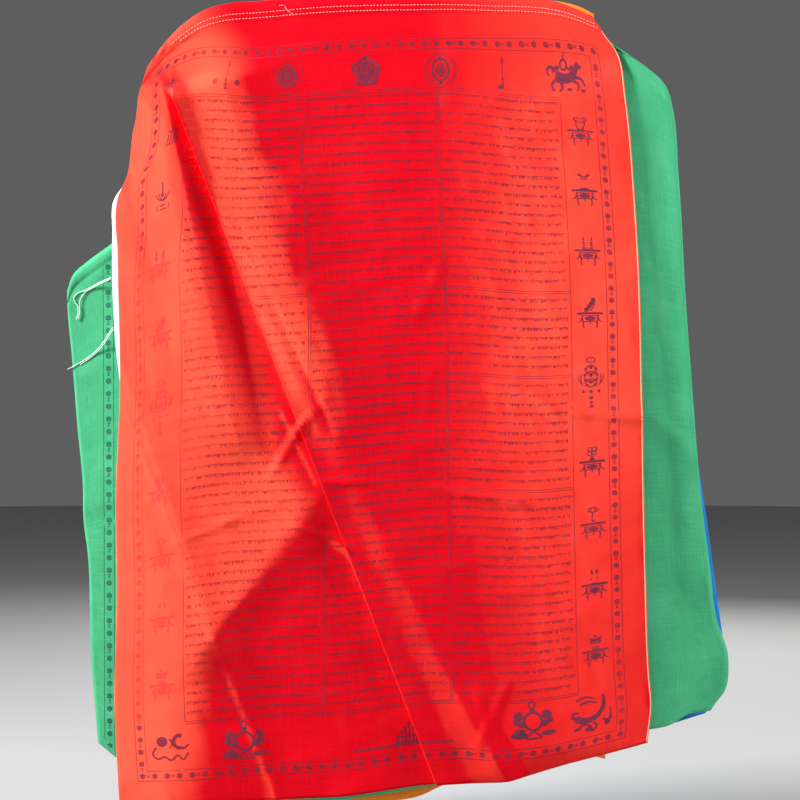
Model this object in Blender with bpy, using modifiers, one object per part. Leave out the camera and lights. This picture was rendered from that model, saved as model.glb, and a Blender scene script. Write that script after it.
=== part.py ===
"""Part of a string of large printed flags, folded back and forth so that six of them hang in a stack.

Metres, +Z up. X runs across the flags, -Y faces the viewer, and the origin is at the middle of the top edge.
Each flag is one sheet: a grid laid between four measured edges, moved forward by its folds, then given its
thickness. Tables give places as metres across from the middle and down from the top edge.
"""

from collections import namedtuple

import bmesh
import bpy
import numpy as np

CLOTH = 0.0012
HEM = 0.0023
HEM_DEPTH = 0.025
HEM_STEP = 0.002
LAP_BLOCK = 0.022
LAP_LEAST = 0.055
LAYER_AT_TOP = 0.0038
LAYER_AT_FOOT = 0.0075
FLAG_HEIGHT = 1.0
FADE = 0.07
LAP_FADE = 0.03
TAIL_THICK = 0.0010
TAIL_PITCH = 0.0035
TAIL_CLEAR = 0.0022

Fold = namedtuple(
    "Fold", "head_across head_down foot_across foot_down at_head at_foot left right sharp"
)
Lap = namedtuple("Lap", "head_across head_down foot_across foot_down tuck rise turn reach")
Flag = namedtuple("Flag", "name layer colour columns rows left right top foot folds lap")

# The swells that all six sheets share, because they hang against each other.
HANG = [
    Fold(-0.325, 0.10, -0.265, 1.00, 0.006, 0.018, 0.10, 0.13, 0.0),
    Fold(0.250, 0.14, 0.300, 0.93, 0.014, 0.022, 0.19, 0.12, 0.0),
    Fold(-0.420, 0.30, -0.390, 0.95, -0.003, -0.008, 0.06, 0.06, 0.0),
    Fold(0.420, 0.55, 0.400, 0.90, -0.002, -0.010, 0.07, 0.07, 0.0),
]

# The red flag laps over itself along one long line from the left grip to the foot.
RED_LAP = Lap(-0.277, 0.140, 0.049, 0.9925, 0.009, 0.018, 0.007, 0.085)
RED_FOLDS = [
    Fold(-0.287, 0.150, -0.205, 0.540, 0.012, 0.011, 0.070, 0.040, 0.2),
    Fold(-0.216, 0.115, -0.085, 0.500, 0.009, 0.005, 0.058, 0.100, 0.1),
    Fold(-0.235, 0.211, 0.121, 0.976, 0.004, 0.013, 0.040, 0.12, 0.3),
    Fold(-0.350, 0.450, -0.152, 1.005, 0.003, 0.005, 0.030, 0.030, 0.7),
    Fold(-0.238, 0.812, -0.105, 0.635, 0.008, 0.006, 0.055, 0.12, 0.6),
    Fold(0.072, 0.870, 0.135, 0.980, 0.003, 0.010, 0.025, 0.030, 0.5),
    Fold(0.175, 0.505, 0.301, 0.530, 0.003, 0.004, 0.022, 0.030, 0.5),
]

WHITE_FOLDS = [Fold(-0.150, 0.250, -0.080, 0.950, 0.001, 0.003, 0.12, 0.12, 0.0)]

GREEN_NEAR_FOLDS = [
    Fold(0.345, 0.13, 0.385, 0.72, 0.010, 0.012, 0.045, 0.030, 0.0),
    Fold(0.300, 0.085, 0.331, 0.551, 0.003, 0.001, 0.035, 0.025, 0.4),
    Fold(0.337, 0.551, 0.372, 0.585, 0.003, 0.003, 0.020, 0.020, 0.5),
    Fold(0.330, 0.870, 0.400, 0.822, 0.003, 0.004, 0.030, 0.045, 0.5),
    Fold(-0.100, 0.300, -0.060, 0.980, 0.001, 0.003, 0.14, 0.14, 0.0),
]

YELLOW_FOLDS = [Fold(0.100, 0.300, 0.140, 0.950, 0.001, 0.003, 0.12, 0.12, 0.0)]

GREEN_FAR_FOLDS = [
    Fold(-0.404, 0.663, -0.340, 0.660, -0.002, -0.001, 0.020, 0.020, 0.5),
    Fold(-0.398, 0.400, -0.365, 0.930, 0.001, 0.003, 0.030, 0.040, 0.2),
    Fold(0.050, 0.300, 0.020, 0.900, 0.001, 0.003, 0.12, 0.12, 0.0),
]

BLUE_FOLDS = [
    Fold(-0.235, 0.110, -0.090, 0.960, -0.003, -0.012, 0.07, 0.12, 0.3),
    Fold(0.255, 0.110, 0.130, 0.940, -0.002, -0.009, 0.10, 0.07, 0.3),
    Fold(-0.200, 0.700, 0.100, 0.560, -0.003, -0.002, 0.05, 0.05, 0.4),
]

FLAGS = [
    Flag(
        name="flag_red",
        layer=0,
        colour=(0.80, 0.011, 0.009),
        columns=(12, 6, 14),
        rows=32,
        left=[
            (-0.315, 0.0925), (-0.325, 0.1263), (-0.336, 0.1700), (-0.3438, 0.2300), (-0.3538, 0.2538),
            (-0.3538, 0.3287), (-0.3500, 0.4813), (-0.3550, 0.6325), (-0.3538, 0.7450), (-0.3569, 0.8988),
            (-0.3506, 1.0150),
        ],
        right=[
            (0.240, 0.0275), (0.2562, 0.0513), (0.2712, 0.0725), (0.2812, 0.1325), (0.2925, 0.2575),
            (0.2988, 0.3825), (0.3013, 0.5075), (0.3050, 0.7075), (0.3106, 0.8588), (0.3125, 0.8800),
            (0.3069, 0.9325),
        ],
        top=[
            (-0.315, 0.0925), (-0.300, 0.0700), (-0.275, 0.0413), (-0.2412, 0.0187), (-0.2188, 0.0125),
            (-0.175, 0.0088), (-0.100, 0.0025), (0.0, 0.0), (0.100, 0.0013), (0.200, 0.0112),
            (0.240, 0.0275),
        ],
        foot=[
            (-0.3506, 1.0150), (-0.250, 1.0112), (-0.150, 1.0063), (-0.0788, 1.0037), (0.025, 0.9888),
            (0.140, 0.9800), (0.2162, 0.9587), (0.3069, 0.9325),
        ],
        folds=RED_FOLDS,
        lap=RED_LAP,
    ),
    Flag(
        name="flag_white",
        layer=1,
        colour=(0.78, 0.76, 0.84),
        columns=(14,),
        rows=20,
        left=[
            (-0.3088, 0.1000), (-0.3300, 0.1700), (-0.3412, 0.2325), (-0.3581, 0.2587), (-0.3596, 0.2988),
            (-0.3588, 0.3825), (-0.3550, 0.4425), (-0.3475, 0.5112), (-0.3500, 0.6325), (-0.3513, 0.8225),
            (-0.3450, 1.0025),
        ],
        right=[(0.237, 0.0335), (0.266, 0.0850), (0.284, 0.2575), (0.291, 0.5700), (0.295, 0.9225)],
        top=[
            (-0.3088, 0.1000), (-0.270, 0.0460), (-0.2412, 0.0237), (-0.175, 0.0138), (-0.100, 0.0075),
            (0.0, 0.0050), (0.100, 0.0063), (0.200, 0.0162), (0.237, 0.0335),
        ],
        foot=[(-0.345, 1.0025), (-0.150, 0.9950), (0.0825, 0.9725), (0.295, 0.9225)],
        folds=WHITE_FOLDS,
        lap=None,
    ),
    Flag(
        name="flag_green_near",
        layer=2,
        colour=(0.020, 0.33, 0.13),
        columns=(15,),
        rows=24,
        left=[(-0.295, 0.0840), (-0.296, 0.3500), (-0.290, 0.7000), (-0.285, 1.0075)],
        right=[
            (0.2725, 0.0700), (0.305, 0.0887), (0.3312, 0.1138), (0.340, 0.1425), (0.3475, 0.2225),
            (0.3575, 0.3900), (0.3663, 0.5075), (0.375, 0.6162), (0.3862, 0.7025), (0.3987, 0.7825),
            (0.4138, 0.8350), (0.4088, 0.8750), (0.3962, 0.8912), (0.3912, 0.8988),
        ],
        top=[
            (-0.295, 0.0840), (-0.2412, 0.0287), (-0.175, 0.0188), (-0.100, 0.0125), (0.0, 0.0100),
            (0.100, 0.0113), (0.200, 0.0220), (0.235, 0.0400), (0.2725, 0.0700),
        ],
        foot=[
            (-0.285, 1.0075), (-0.150, 1.0125), (-0.0788, 1.0100), (0.025, 0.9950), (0.0912, 0.9850),
            (0.200, 0.9563), (0.3075, 0.9188), (0.3375, 0.9138), (0.360, 0.9025), (0.3912, 0.8988),
        ],
        folds=GREEN_NEAR_FOLDS,
        lap=None,
    ),
    Flag(
        name="flag_yellow",
        layer=3,
        colour=(1.0, 0.34, 0.012),
        columns=(14,),
        rows=20,
        left=[(-0.300, 0.0900), (-0.338, 0.2600), (-0.340, 0.6000), (-0.3425, 1.0075)],
        right=[(0.243, 0.0230), (0.252, 0.2500), (0.254, 0.6000), (0.2575, 0.9575)],
        top=[
            (-0.300, 0.0900), (-0.250, 0.0290), (-0.200, 0.0140), (-0.100, 0.0050), (0.0, 0.0025),
            (0.100, 0.0015), (0.1625, 0.0045), (0.200, 0.0075), (0.225, 0.0138), (0.243, 0.0230),
        ],
        foot=[
            (-0.3425, 1.0075), (-0.250, 1.0137), (-0.125, 1.0150), (-0.0375, 1.0137), (0.025, 1.0063),
            (0.0537, 0.9930), (0.140, 0.9813), (0.2162, 0.9613), (0.2350, 0.9537), (0.2575, 0.9575),
        ],
        folds=YELLOW_FOLDS,
        lap=None,
    ),
    Flag(
        name="flag_green_far",
        layer=4,
        colour=(0.030, 0.38, 0.16),
        columns=(15,),
        rows=22,
        left=[
            (-0.4194, 0.3700), (-0.4190, 0.3950), (-0.4138, 0.4525), (-0.4075, 0.5388), (-0.4005, 0.6188),
            (-0.4000, 0.6600), (-0.3950, 0.6987), (-0.3912, 0.8263), (-0.3825, 0.9413),
        ],
        right=[(0.242, 0.0425), (0.248, 0.2500), (0.246, 0.6000), (0.250, 0.9300)],
        top=[
            (-0.4194, 0.3700), (-0.4113, 0.3488), (-0.3925, 0.3325), (-0.3588, 0.3088), (-0.3125, 0.2675),
            (-0.2625, 0.1950), (-0.200, 0.0950), (-0.1375, 0.0375), (0.0, 0.0150), (0.125, 0.0175),
            (0.200, 0.0260), (0.242, 0.0425),
        ],
        foot=[(-0.3825, 0.9413), (-0.3525, 0.9637), (-0.250, 0.9850), (0.0, 0.9775), (0.250, 0.9300)],
        folds=GREEN_FAR_FOLDS,
        lap=None,
    ),
    Flag(
        name="flag_blue",
        layer=5,
        colour=(0.0, 0.26, 0.72),
        columns=(14,),
        rows=20,
        left=[(-0.262, 0.0700), (-0.262, 0.3500), (-0.258, 0.6500), (-0.255, 0.9700)],
        right=[
            (0.245, 0.0525), (0.300, 0.0975), (0.3325, 0.1950), (0.345, 0.3200), (0.3575, 0.4450),
            (0.375, 0.5787), (0.3887, 0.6638), (0.4012, 0.7500), (0.410, 0.8113), (0.4138, 0.8400),
            (0.4119, 0.8700), (0.3875, 0.9050),
        ],
        top=[
            (-0.262, 0.0700), (-0.230, 0.0360), (-0.150, 0.0220), (0.0, 0.0170), (0.125, 0.0190),
            (0.200, 0.0300), (0.245, 0.0525),
        ],
        foot=[(-0.255, 0.9700), (0.0, 0.9675), (0.200, 0.9450), (0.3138, 0.9213), (0.3875, 0.9050)],
        folds=BLUE_FOLDS,
        lap=None,
    ),
]

# Loose white thread ends leave the white flag's left edge and lie on the far green flag. Each row is a place
# that the thread passes, and lean goes from 0 at the white flag to 1 on the far green one.
TAILS = {
    "thread_upper_long": [
        (-0.3612, 0.3540, 0.00), (-0.3690, 0.3568, 0.30), (-0.3775, 0.3600, 0.70), (-0.3875, 0.3650, 1.00),
        (-0.3975, 0.3700, 1.00), (-0.4062, 0.3731, 1.00), (-0.4108, 0.3788, 1.00), (-0.4094, 0.3838, 1.00),
        (-0.4062, 0.3887, 1.00), (-0.4050, 0.3950, 1.00), (-0.4075, 0.4062, 1.00),
    ],
    "thread_upper_short": [
        (-0.3612, 0.3559, 0.00), (-0.3690, 0.3587, 0.30), (-0.3775, 0.3619, 0.70), (-0.3875, 0.3669, 1.00),
        (-0.3965, 0.3722, 1.00), (-0.4012, 0.3783, 1.00), (-0.4034, 0.3850, 1.00), (-0.4032, 0.3900, 1.00),
        (-0.4031, 0.3955, 1.00), (-0.4053, 0.4048, 1.00),
    ],
    "thread_lower_long": [
        (-0.3590, 0.4165, 0.00), (-0.3655, 0.4250, 0.30), (-0.3738, 0.4365, 0.70), (-0.3850, 0.4477, 1.00),
        (-0.3950, 0.4555, 1.00), (-0.4070, 0.4625, 1.00), (-0.4188, 0.4688, 1.00),
    ],
    "thread_lower_short": [
        (-0.3584, 0.4187, 0.00), (-0.3641, 0.4263, 0.30), (-0.3724, 0.4378, 0.70), (-0.3837, 0.4491, 1.00),
        (-0.3939, 0.4571, 1.00), (-0.4030, 0.4628, 1.00),
    ],
}


def smooth_step(share):
    share = np.clip(share, 0.0, 1.0)
    return share * share * (3.0 - 2.0 * share)


def curve_through(points, shares):
    """Places at shares of the length of a smooth curve through a table's points."""
    points = np.array(points, float)
    run = np.concatenate([[0.0], np.cumsum(np.linalg.norm(np.diff(points, axis=0), axis=1))])
    slope = np.gradient(points, run, axis=0)
    at = np.asarray(shares) * run[-1]
    i = np.clip(np.searchsorted(run, at) - 1, 0, len(run) - 2)
    step = (run[i + 1] - run[i])[..., None]
    t = (at - run[i])[..., None] / step
    start = (1 + 2 * t) * (1 - t) ** 2 * points[i] + t * (1 - t) ** 2 * step * slope[i]
    end = t * t * (3 - 2 * t) * points[i + 1] - t * t * (1 - t) * step * slope[i + 1]
    return start + end


def between_edges(flag, u, v):
    """The place of the flat flag's point (u, v) when its four edges hang where the tables say."""
    top, foot = curve_through(flag.top, u), curve_through(flag.foot, u)
    left, right = curve_through(flag.left, v), curve_through(flag.right, v)
    u, v = u[..., None], v[..., None]
    corners = (1 - v) * ((1 - u) * np.array(flag.top[0]) + u * np.array(flag.top[-1]))
    corners = corners + v * ((1 - u) * np.array(flag.foot[0]) + u * np.array(flag.foot[-1]))
    place = (1 - v) * top + v * foot + (1 - u) * left + u * right - corners
    return place[..., 0], place[..., 1]


def beside(line, across, down):
    """How far along a fold's line a point lies, in metres, the line's length, and how far right of it."""
    run_across, run_down = line.foot_across - line.head_across, line.foot_down - line.head_down
    long = np.hypot(run_across, run_down)
    from_across, from_down = across - line.head_across, down - line.head_down
    along = (from_across * run_across + from_down * run_down) / long
    side = (from_across * run_down - from_down * run_across) / long
    return along, long, side


def ends(along, long, fade=FADE):
    """One along a fold's line, fading to nothing past both ends."""
    return smooth_step(1.0 + np.minimum(along, long - along) / fade)


def rise(fold, across, down):
    """How far a fold brings the cloth forward."""
    along, long, side = beside(fold, across, down)
    height = fold.at_head + (fold.at_foot - fold.at_head) * np.clip(along / long, 0.0, 1.0)
    off = np.clip(np.abs(side) / np.where(side < 0, fold.left, fold.right), 0.0, 1.0)
    return height * ends(along, long) * (1 - off) ** 2 * (1 + 2 * off * (1 - fold.sharp))


def lap_over(lap, across, down):
    """Moves the cloth on both sides of a lap towards its line, and brings its right side forward."""
    along, long, side = beside(lap, across, down)
    strength = ends(along, long, LAP_FADE)
    near = np.exp(-np.abs(side) / lap.reach)
    tuck = -lap.tuck * strength * near * np.tanh(1.5 * side / lap.turn)
    forward = lap.rise * strength * smooth_step(0.5 + 0.5 * side / lap.turn)
    return across + tuck, forward * np.exp(-np.maximum(side, 0.0) / lap.reach)


def columns_of(flag, v):
    """The share across of each column in each row; with a lap, one block of columns follows its line."""
    if not flag.lap:
        shares = np.linspace(0.0, 1.0, flag.columns[0] + 1)
        return np.tile(shares, (len(v), 1))
    rows = []
    for share_down in v:
        shares = np.linspace(0.0, 1.0, 201)
        across, down = between_edges(flag, shares, np.full(201, share_down))
        middle = max(LAP_LEAST, np.interp(0.0, beside(flag.lap, across, down)[2], shares))
        stops = [0.0, middle - LAP_BLOCK, middle + LAP_BLOCK, 1.0]
        parts = [
            np.linspace(start, end, count, endpoint=False)
            for start, end, count in zip(stops, stops[1:], flag.columns)
        ]
        rows.append(np.concatenate([*parts, [1.0]]))
    return np.array(rows)


def rows_of(flag):
    """The share down of each row: close together at the hem, even below it."""
    hem = HEM_DEPTH / FLAG_HEIGHT
    below = np.linspace(hem + HEM_STEP / FLAG_HEIGHT, 1.0, flag.rows)
    return np.concatenate([[0.0, hem], below])


def depth_of(layer, across, down):
    """How far behind the front sheet a layer hangs, before its own folds."""
    pitch = LAYER_AT_TOP + (LAYER_AT_FOOT - LAYER_AT_TOP) * smooth_step(down / FLAG_HEIGHT)
    return layer * pitch - sum(rise(swell, across, down) for swell in HANG)


def cloth_material(name, colour):
    material = bpy.data.materials.new(name)
    material.use_nodes = True
    shader = material.node_tree.nodes["Principled BSDF"]
    shader.inputs["Base Color"].default_value = (*colour, 1.0)
    shader.inputs["Roughness"].default_value = 0.75
    shader.inputs["Metallic"].default_value = 0.0
    return material


def make_flag(flag, collection):
    down_shares = rows_of(flag)
    u = columns_of(flag, down_shares)
    v = np.repeat(down_shares[:, None], u.shape[1], axis=1)
    across, down = between_edges(flag, u, v)
    forward = 0.0
    if flag.lap:
        across, forward = lap_over(flag.lap, across, down)
    forward = forward + sum(rise(fold, across, down) for fold in flag.folds)
    depth = depth_of(flag.layer, across, down) - forward

    bm = bmesh.new()
    bmesh.ops.create_grid(bm, x_segments=u.shape[1] - 1, y_segments=u.shape[0] - 1, size=0.5)
    bm.verts.ensure_lookup_table()
    for vert, x, y, z in zip(bm.verts, across.ravel(), depth.ravel(), -down.ravel()):
        vert.co = (x, y, z)
    bmesh.ops.recalc_face_normals(bm, faces=bm.faces)
    mesh = bpy.data.meshes.new(flag.name)
    bm.to_mesh(mesh)
    bm.free()
    mesh.shade_smooth()
    mesh.materials.append(cloth_material(flag.name + "_cloth", flag.colour))

    sheet = bpy.data.objects.new(flag.name, mesh)
    collection.objects.link(sheet)
    hem = sheet.vertex_groups.new(name="hem")
    hem.add([i for i, share in enumerate(v.ravel()) if share <= HEM_DEPTH / FLAG_HEIGHT], 1.0, "REPLACE")
    thick = sheet.modifiers.new("thickness", "SOLIDIFY")
    thick.thickness = HEM
    thick.offset = 0.0
    thick.vertex_group = hem.name
    thick.thickness_vertex_group = CLOTH / HEM
    return sheet


def make_tail(name, places, material, collection):
    """A thread end: a thin tube on a smooth curve through its places."""
    across, down, lean = np.array(places).T
    at_white = depth_of(1, across, down)
    on_green = depth_of(4, across, down) - sum(rise(fold, across, down) for fold in GREEN_FAR_FOLDS)
    depth = at_white + lean * (on_green - TAIL_CLEAR - at_white)
    stops = np.stack([across, depth, -down], axis=1)
    count = 1 + round(np.linalg.norm(np.diff(stops, axis=0), axis=1).sum() / TAIL_PITCH)
    curve = bpy.data.curves.new(name, "CURVE")
    curve.dimensions = "3D"
    curve.bevel_depth = TAIL_THICK / 2
    curve.bevel_resolution = 2
    curve.use_fill_caps = True
    curve.materials.append(material)
    spline = curve.splines.new("POLY")
    spline.points.add(count - 1)
    for point, place in zip(spline.points, curve_through(stops, np.linspace(0.0, 1.0, count))):
        point.co = (*place, 1.0)
    collection.objects.link(bpy.data.objects.new(name, curve))


def main():
    for old in list(bpy.data.objects):
        bpy.data.objects.remove(old)
    collection = bpy.data.collections.new("prayer_flag_string")
    bpy.context.scene.collection.children.link(collection)
    for flag in FLAGS:
        make_flag(flag, collection)
    thread = cloth_material("white_thread", (0.80, 0.80, 0.80))
    for name, places in TAILS.items():
        make_tail(name, places, thread, collection)


main()
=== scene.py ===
import math
from collections import namedtuple

import bmesh
import bpy
import numpy as np
from mathutils import Matrix, Vector


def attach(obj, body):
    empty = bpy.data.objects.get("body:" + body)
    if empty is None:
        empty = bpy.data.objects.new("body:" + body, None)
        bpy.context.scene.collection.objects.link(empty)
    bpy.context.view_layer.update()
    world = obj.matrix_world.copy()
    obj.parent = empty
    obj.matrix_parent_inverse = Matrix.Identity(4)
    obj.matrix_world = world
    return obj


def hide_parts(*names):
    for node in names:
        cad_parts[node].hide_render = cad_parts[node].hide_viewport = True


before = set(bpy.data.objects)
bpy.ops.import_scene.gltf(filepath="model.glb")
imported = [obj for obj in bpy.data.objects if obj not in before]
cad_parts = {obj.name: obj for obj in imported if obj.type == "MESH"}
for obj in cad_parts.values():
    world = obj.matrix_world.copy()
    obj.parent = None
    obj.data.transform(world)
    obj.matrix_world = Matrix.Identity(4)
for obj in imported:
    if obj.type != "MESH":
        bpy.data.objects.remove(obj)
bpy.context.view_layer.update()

# The camera stands level with the middle of the stack and sees one metre across at the flags.
VIEW_WIDTH = 1.0
VIEW_MIDDLE = -0.5075
LENS_MM, SENSOR_MM = 100.0, 36.0
view_distance = VIEW_WIDTH * LENS_MM / SENSOR_MM
camera_data = bpy.data.cameras.new("camera")
camera_data.lens = LENS_MM
camera_data.sensor_width = SENSOR_MM
camera = bpy.data.objects.new("camera", camera_data)
camera.location = (0.0, -view_distance, VIEW_MIDDLE)
camera.rotation_euler = (math.pi / 2, 0.0, 0.0)
bpy.context.scene.collection.objects.link(camera)
bpy.context.scene.camera = camera
bpy.context.scene.view_settings.view_transform = "Standard"


# The loose thread ends are white sewing thread, cut long where the white flag's edge was stitched. They leave
# that edge and lie on the far green flag. The places are metres across from the middle and down from the top
# edge, and lean goes from 0 at the white flag to 1 on the green one.

# A fold runs from its head to its foot, stands forward by at_head and at_foot, and is left and right wide.
Fold = namedtuple("Fold", "head_across head_down foot_across foot_down at_head at_foot left right sharp")
FADE = 0.07
FLAG_HEIGHT = 1.0
LAYER_AT_TOP, LAYER_AT_FOOT = 0.0038, 0.0075
TAIL_THICK, TAIL_PITCH, TAIL_CLEAR = 0.0010, 0.0020, 0.0022
HANG = [
    Fold(-0.325, 0.10, -0.265, 1.00, 0.006, 0.018, 0.10, 0.13, 0.0),
    Fold(0.250, 0.14, 0.300, 0.93, 0.014, 0.022, 0.19, 0.12, 0.0),
    Fold(-0.420, 0.30, -0.390, 0.95, -0.003, -0.008, 0.06, 0.06, 0.0),
    Fold(0.420, 0.55, 0.400, 0.90, -0.002, -0.010, 0.07, 0.07, 0.0),
]
GREEN_FAR_FOLDS = [
    Fold(-0.404, 0.663, -0.340, 0.660, -0.002, -0.001, 0.020, 0.020, 0.5),
    Fold(-0.398, 0.400, -0.365, 0.930, 0.001, 0.003, 0.030, 0.040, 0.2),
    Fold(0.050, 0.300, 0.020, 0.900, 0.001, 0.003, 0.12, 0.12, 0.0),
]
TAILS = {
    "thread_upper_long": [
        (-0.3612, 0.3540, 0.00), (-0.3690, 0.3568, 0.30), (-0.3775, 0.3600, 0.70), (-0.3875, 0.3650, 1.00),
        (-0.3975, 0.3700, 1.00), (-0.4062, 0.3731, 1.00), (-0.4108, 0.3788, 1.00), (-0.4094, 0.3838, 1.00),
        (-0.4062, 0.3887, 1.00), (-0.4050, 0.3950, 1.00), (-0.4075, 0.4062, 1.00),
    ],
    "thread_upper_short": [
        (-0.3612, 0.3559, 0.00), (-0.3690, 0.3587, 0.30), (-0.3775, 0.3619, 0.70), (-0.3875, 0.3669, 1.00),
        (-0.3965, 0.3722, 1.00), (-0.4012, 0.3783, 1.00), (-0.4034, 0.3850, 1.00), (-0.4032, 0.3900, 1.00),
        (-0.4031, 0.3955, 1.00), (-0.4053, 0.4048, 1.00),
    ],
    "thread_lower_long": [
        (-0.3590, 0.4165, 0.00), (-0.3655, 0.4250, 0.30), (-0.3738, 0.4365, 0.70), (-0.3850, 0.4477, 1.00),
        (-0.3950, 0.4555, 1.00), (-0.4070, 0.4625, 1.00), (-0.4188, 0.4688, 1.00),
    ],
    "thread_lower_short": [
        (-0.3584, 0.4187, 0.00), (-0.3641, 0.4263, 0.30), (-0.3724, 0.4378, 0.70), (-0.3837, 0.4491, 1.00),
        (-0.3939, 0.4571, 1.00), (-0.4030, 0.4628, 1.00),
    ],
}


def smooth_step(share):
    share = np.clip(share, 0.0, 1.0)
    return share * share * (3.0 - 2.0 * share)


def curve_through(points, shares):
    """Places at shares of the length of a smooth curve through a table's points."""
    points = np.array(points, float)
    run = np.concatenate([[0.0], np.cumsum(np.linalg.norm(np.diff(points, axis=0), axis=1))])
    slope = np.gradient(points, run, axis=0)
    at = np.asarray(shares) * run[-1]
    i = np.clip(np.searchsorted(run, at) - 1, 0, len(run) - 2)
    step = (run[i + 1] - run[i])[..., None]
    t = (at - run[i])[..., None] / step
    start = (1 + 2 * t) * (1 - t) ** 2 * points[i] + t * (1 - t) ** 2 * step * slope[i]
    end = t * t * (3 - 2 * t) * points[i + 1] - t * t * (1 - t) * step * slope[i + 1]
    return start + end


def beside(line, across, down):
    """How far along a fold's line a point lies, in metres, the line's length, and how far right of it."""
    run_across, run_down = line.foot_across - line.head_across, line.foot_down - line.head_down
    long = np.hypot(run_across, run_down)
    from_across, from_down = across - line.head_across, down - line.head_down
    along = (from_across * run_across + from_down * run_down) / long
    side = (from_across * run_down - from_down * run_across) / long
    return along, long, side


def ends(along, long, fade=FADE):
    """One along a fold's line, fading to nothing past both ends."""
    return smooth_step(1.0 + np.minimum(along, long - along) / fade)


def rise(fold, across, down, fade=FADE):
    """How far a fold brings the cloth forward."""
    along, long, side = beside(fold, across, down)
    height = fold.at_head + (fold.at_foot - fold.at_head) * np.clip(along / long, 0.0, 1.0)
    off = np.clip(np.abs(side) / np.where(side < 0, fold.left, fold.right), 0.0, 1.0)
    return height * ends(along, long, fade) * (1 - off) ** 2 * (1 + 2 * off * (1 - fold.sharp))


def depth_of(layer, across, down):
    """How far behind the front sheet a layer hangs, before its own folds."""
    pitch = LAYER_AT_TOP + (LAYER_AT_FOOT - LAYER_AT_TOP) * smooth_step(down / FLAG_HEIGHT)
    return layer * pitch - sum(rise(swell, across, down) for swell in HANG)


class Value:
    """A number from a node's socket, with Python's operators."""

    def __init__(self, paint, socket):
        self.paint, self.socket = paint, socket

    def maths(self, operation, *others):
        return self.paint.node("ShaderNodeMath", {"operation": operation}, self, *others)

    def __add__(self, other):
        return self.maths("ADD", other)

    def __radd__(self, other):
        return self.maths("ADD", other)

    def __sub__(self, other):
        return self.maths("SUBTRACT", other)

    def __mul__(self, other):
        return self.maths("MULTIPLY", other)


class Paint:
    """A new material with one Principled shader, and the one method that adds its nodes."""

    def __init__(self, name, roughness, sheen=0.0):
        self.material = bpy.data.materials.new(name)
        self.material.use_nodes = True
        self.tree = self.material.node_tree
        self.shader = self.tree.nodes["Principled BSDF"]
        self.shader.inputs["Roughness"].default_value = roughness
        self.shader.inputs["Specular IOR Level"].default_value = 0.25
        self.shader.inputs["Sheen Weight"].default_value = sheen
        self.shader.inputs["Sheen Roughness"].default_value = 0.5

    def node(self, kind, settings=None, *values, out=0, **named):
        node = self.tree.nodes.new(kind)
        for key, value in (settings or {}).items():
            setattr(node, key, value)
        for key, value in [*enumerate(values), *named.items()]:
            socket = node.inputs[key.replace("_", " ") if isinstance(key, str) else key]
            if isinstance(value, Value):
                self.tree.links.new(value.socket, socket)
            elif value is not None:
                socket.default_value = value
        return Value(self, node.outputs[out])

    def feed(self, socket, value):
        self.tree.links.new(value.socket, self.shader.inputs[socket])

    def blend(self, factor, first, second):
        """A colour between two, each a tuple or a node's colour."""
        node = self.tree.nodes.new("ShaderNodeMix")
        node.data_type = "RGBA"
        for socket, value in zip((node.inputs[0], node.inputs[6], node.inputs[7]), (factor, first, second)):
            if isinstance(value, Value):
                self.tree.links.new(value.socket, socket)
            else:
                socket.default_value = value if isinstance(value, float) else (*value, 1.0)
        return Value(self, node.outputs[2])


def thread_paint(name, light, dark):
    """Sewing thread: its fibres from a fine noise, a little darker between them."""
    paint = Paint(name, roughness=0.7, sheen=0.2)
    where = paint.node("ShaderNodeTexCoord", out="Object")
    fibre = paint.node("ShaderNodeTexNoise", None, Vector=where, Scale=900.0, Detail=2.0)
    paint.feed("Base Color", paint.blend(fibre, dark, light))
    paint.feed("Normal", paint.node("ShaderNodeBump", None, Strength=0.5, Distance=0.0002, Height=fibre))
    return paint.material


white_thread = thread_paint("white_thread", light=(0.90, 0.90, 0.92), dark=(0.62, 0.60, 0.64))


def tail_route(places):
    """A tail's points, one every two diameters, from the white flag's edge onto the far green cloth."""
    across, down, lean = np.array(places).T
    at_white = depth_of(1, across, down)
    on_green = depth_of(4, across, down) - sum(rise(fold, across, down) for fold in GREEN_FAR_FOLDS)
    depth = at_white + lean * (on_green - TAIL_CLEAR - at_white)
    stops = np.stack([across, depth, -down], axis=1)
    count = 1 + round(np.linalg.norm(np.diff(stops, axis=0), axis=1).sum() / TAIL_PITCH)
    return curve_through(stops, np.linspace(0.0, 1.0, count))


for tail_name, places in TAILS.items():
    route = tail_route(places)
    curve = bpy.data.curves.new(tail_name + "_tail", "CURVE")
    curve.dimensions = "3D"
    curve.bevel_depth = TAIL_THICK / 2
    curve.bevel_resolution = 3
    curve.use_fill_caps = True
    curve.materials.append(white_thread)
    spline = curve.splines.new("POLY")
    spline.points.add(len(route) - 1)
    for point, place in zip(spline.points, route):
        point.co = (*place, 1.0)
    tail = bpy.data.objects.new(tail_name + "_tail", curve)
    bpy.context.scene.collection.objects.link(tail)
    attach(tail, "root")
    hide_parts(tail_name)


# The flags are thin plain-woven cotton, each about 68 cm wide and a metre tall, dyed in one colour. Each is
# one sheet that hangs between its four edges, with the folds that the tables list. The top edge is turned
# over as a hem. The red one, in front, laps over itself along a line from the left grip down to its foot.
FLAG_WIDTH = 0.68
CLOTH, HEM = 0.0005, 0.0018
HEM_DEPTH, HEM_STEP = 0.025, 0.0015
LAP_BLOCK, LAP_LEAST = 0.022, 0.055
SHORT_FADE, LAP_FADE = 0.025, 0.03

Lap = namedtuple("Lap", "head_across head_down foot_across foot_down tuck rise turn reach")
Flag = namedtuple(
    "Flag",
    "name layer slot columns rows printed_side left right top foot folds creases lap",
    defaults=((), None),
)
FRONT, BACK = 1, -1

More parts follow.
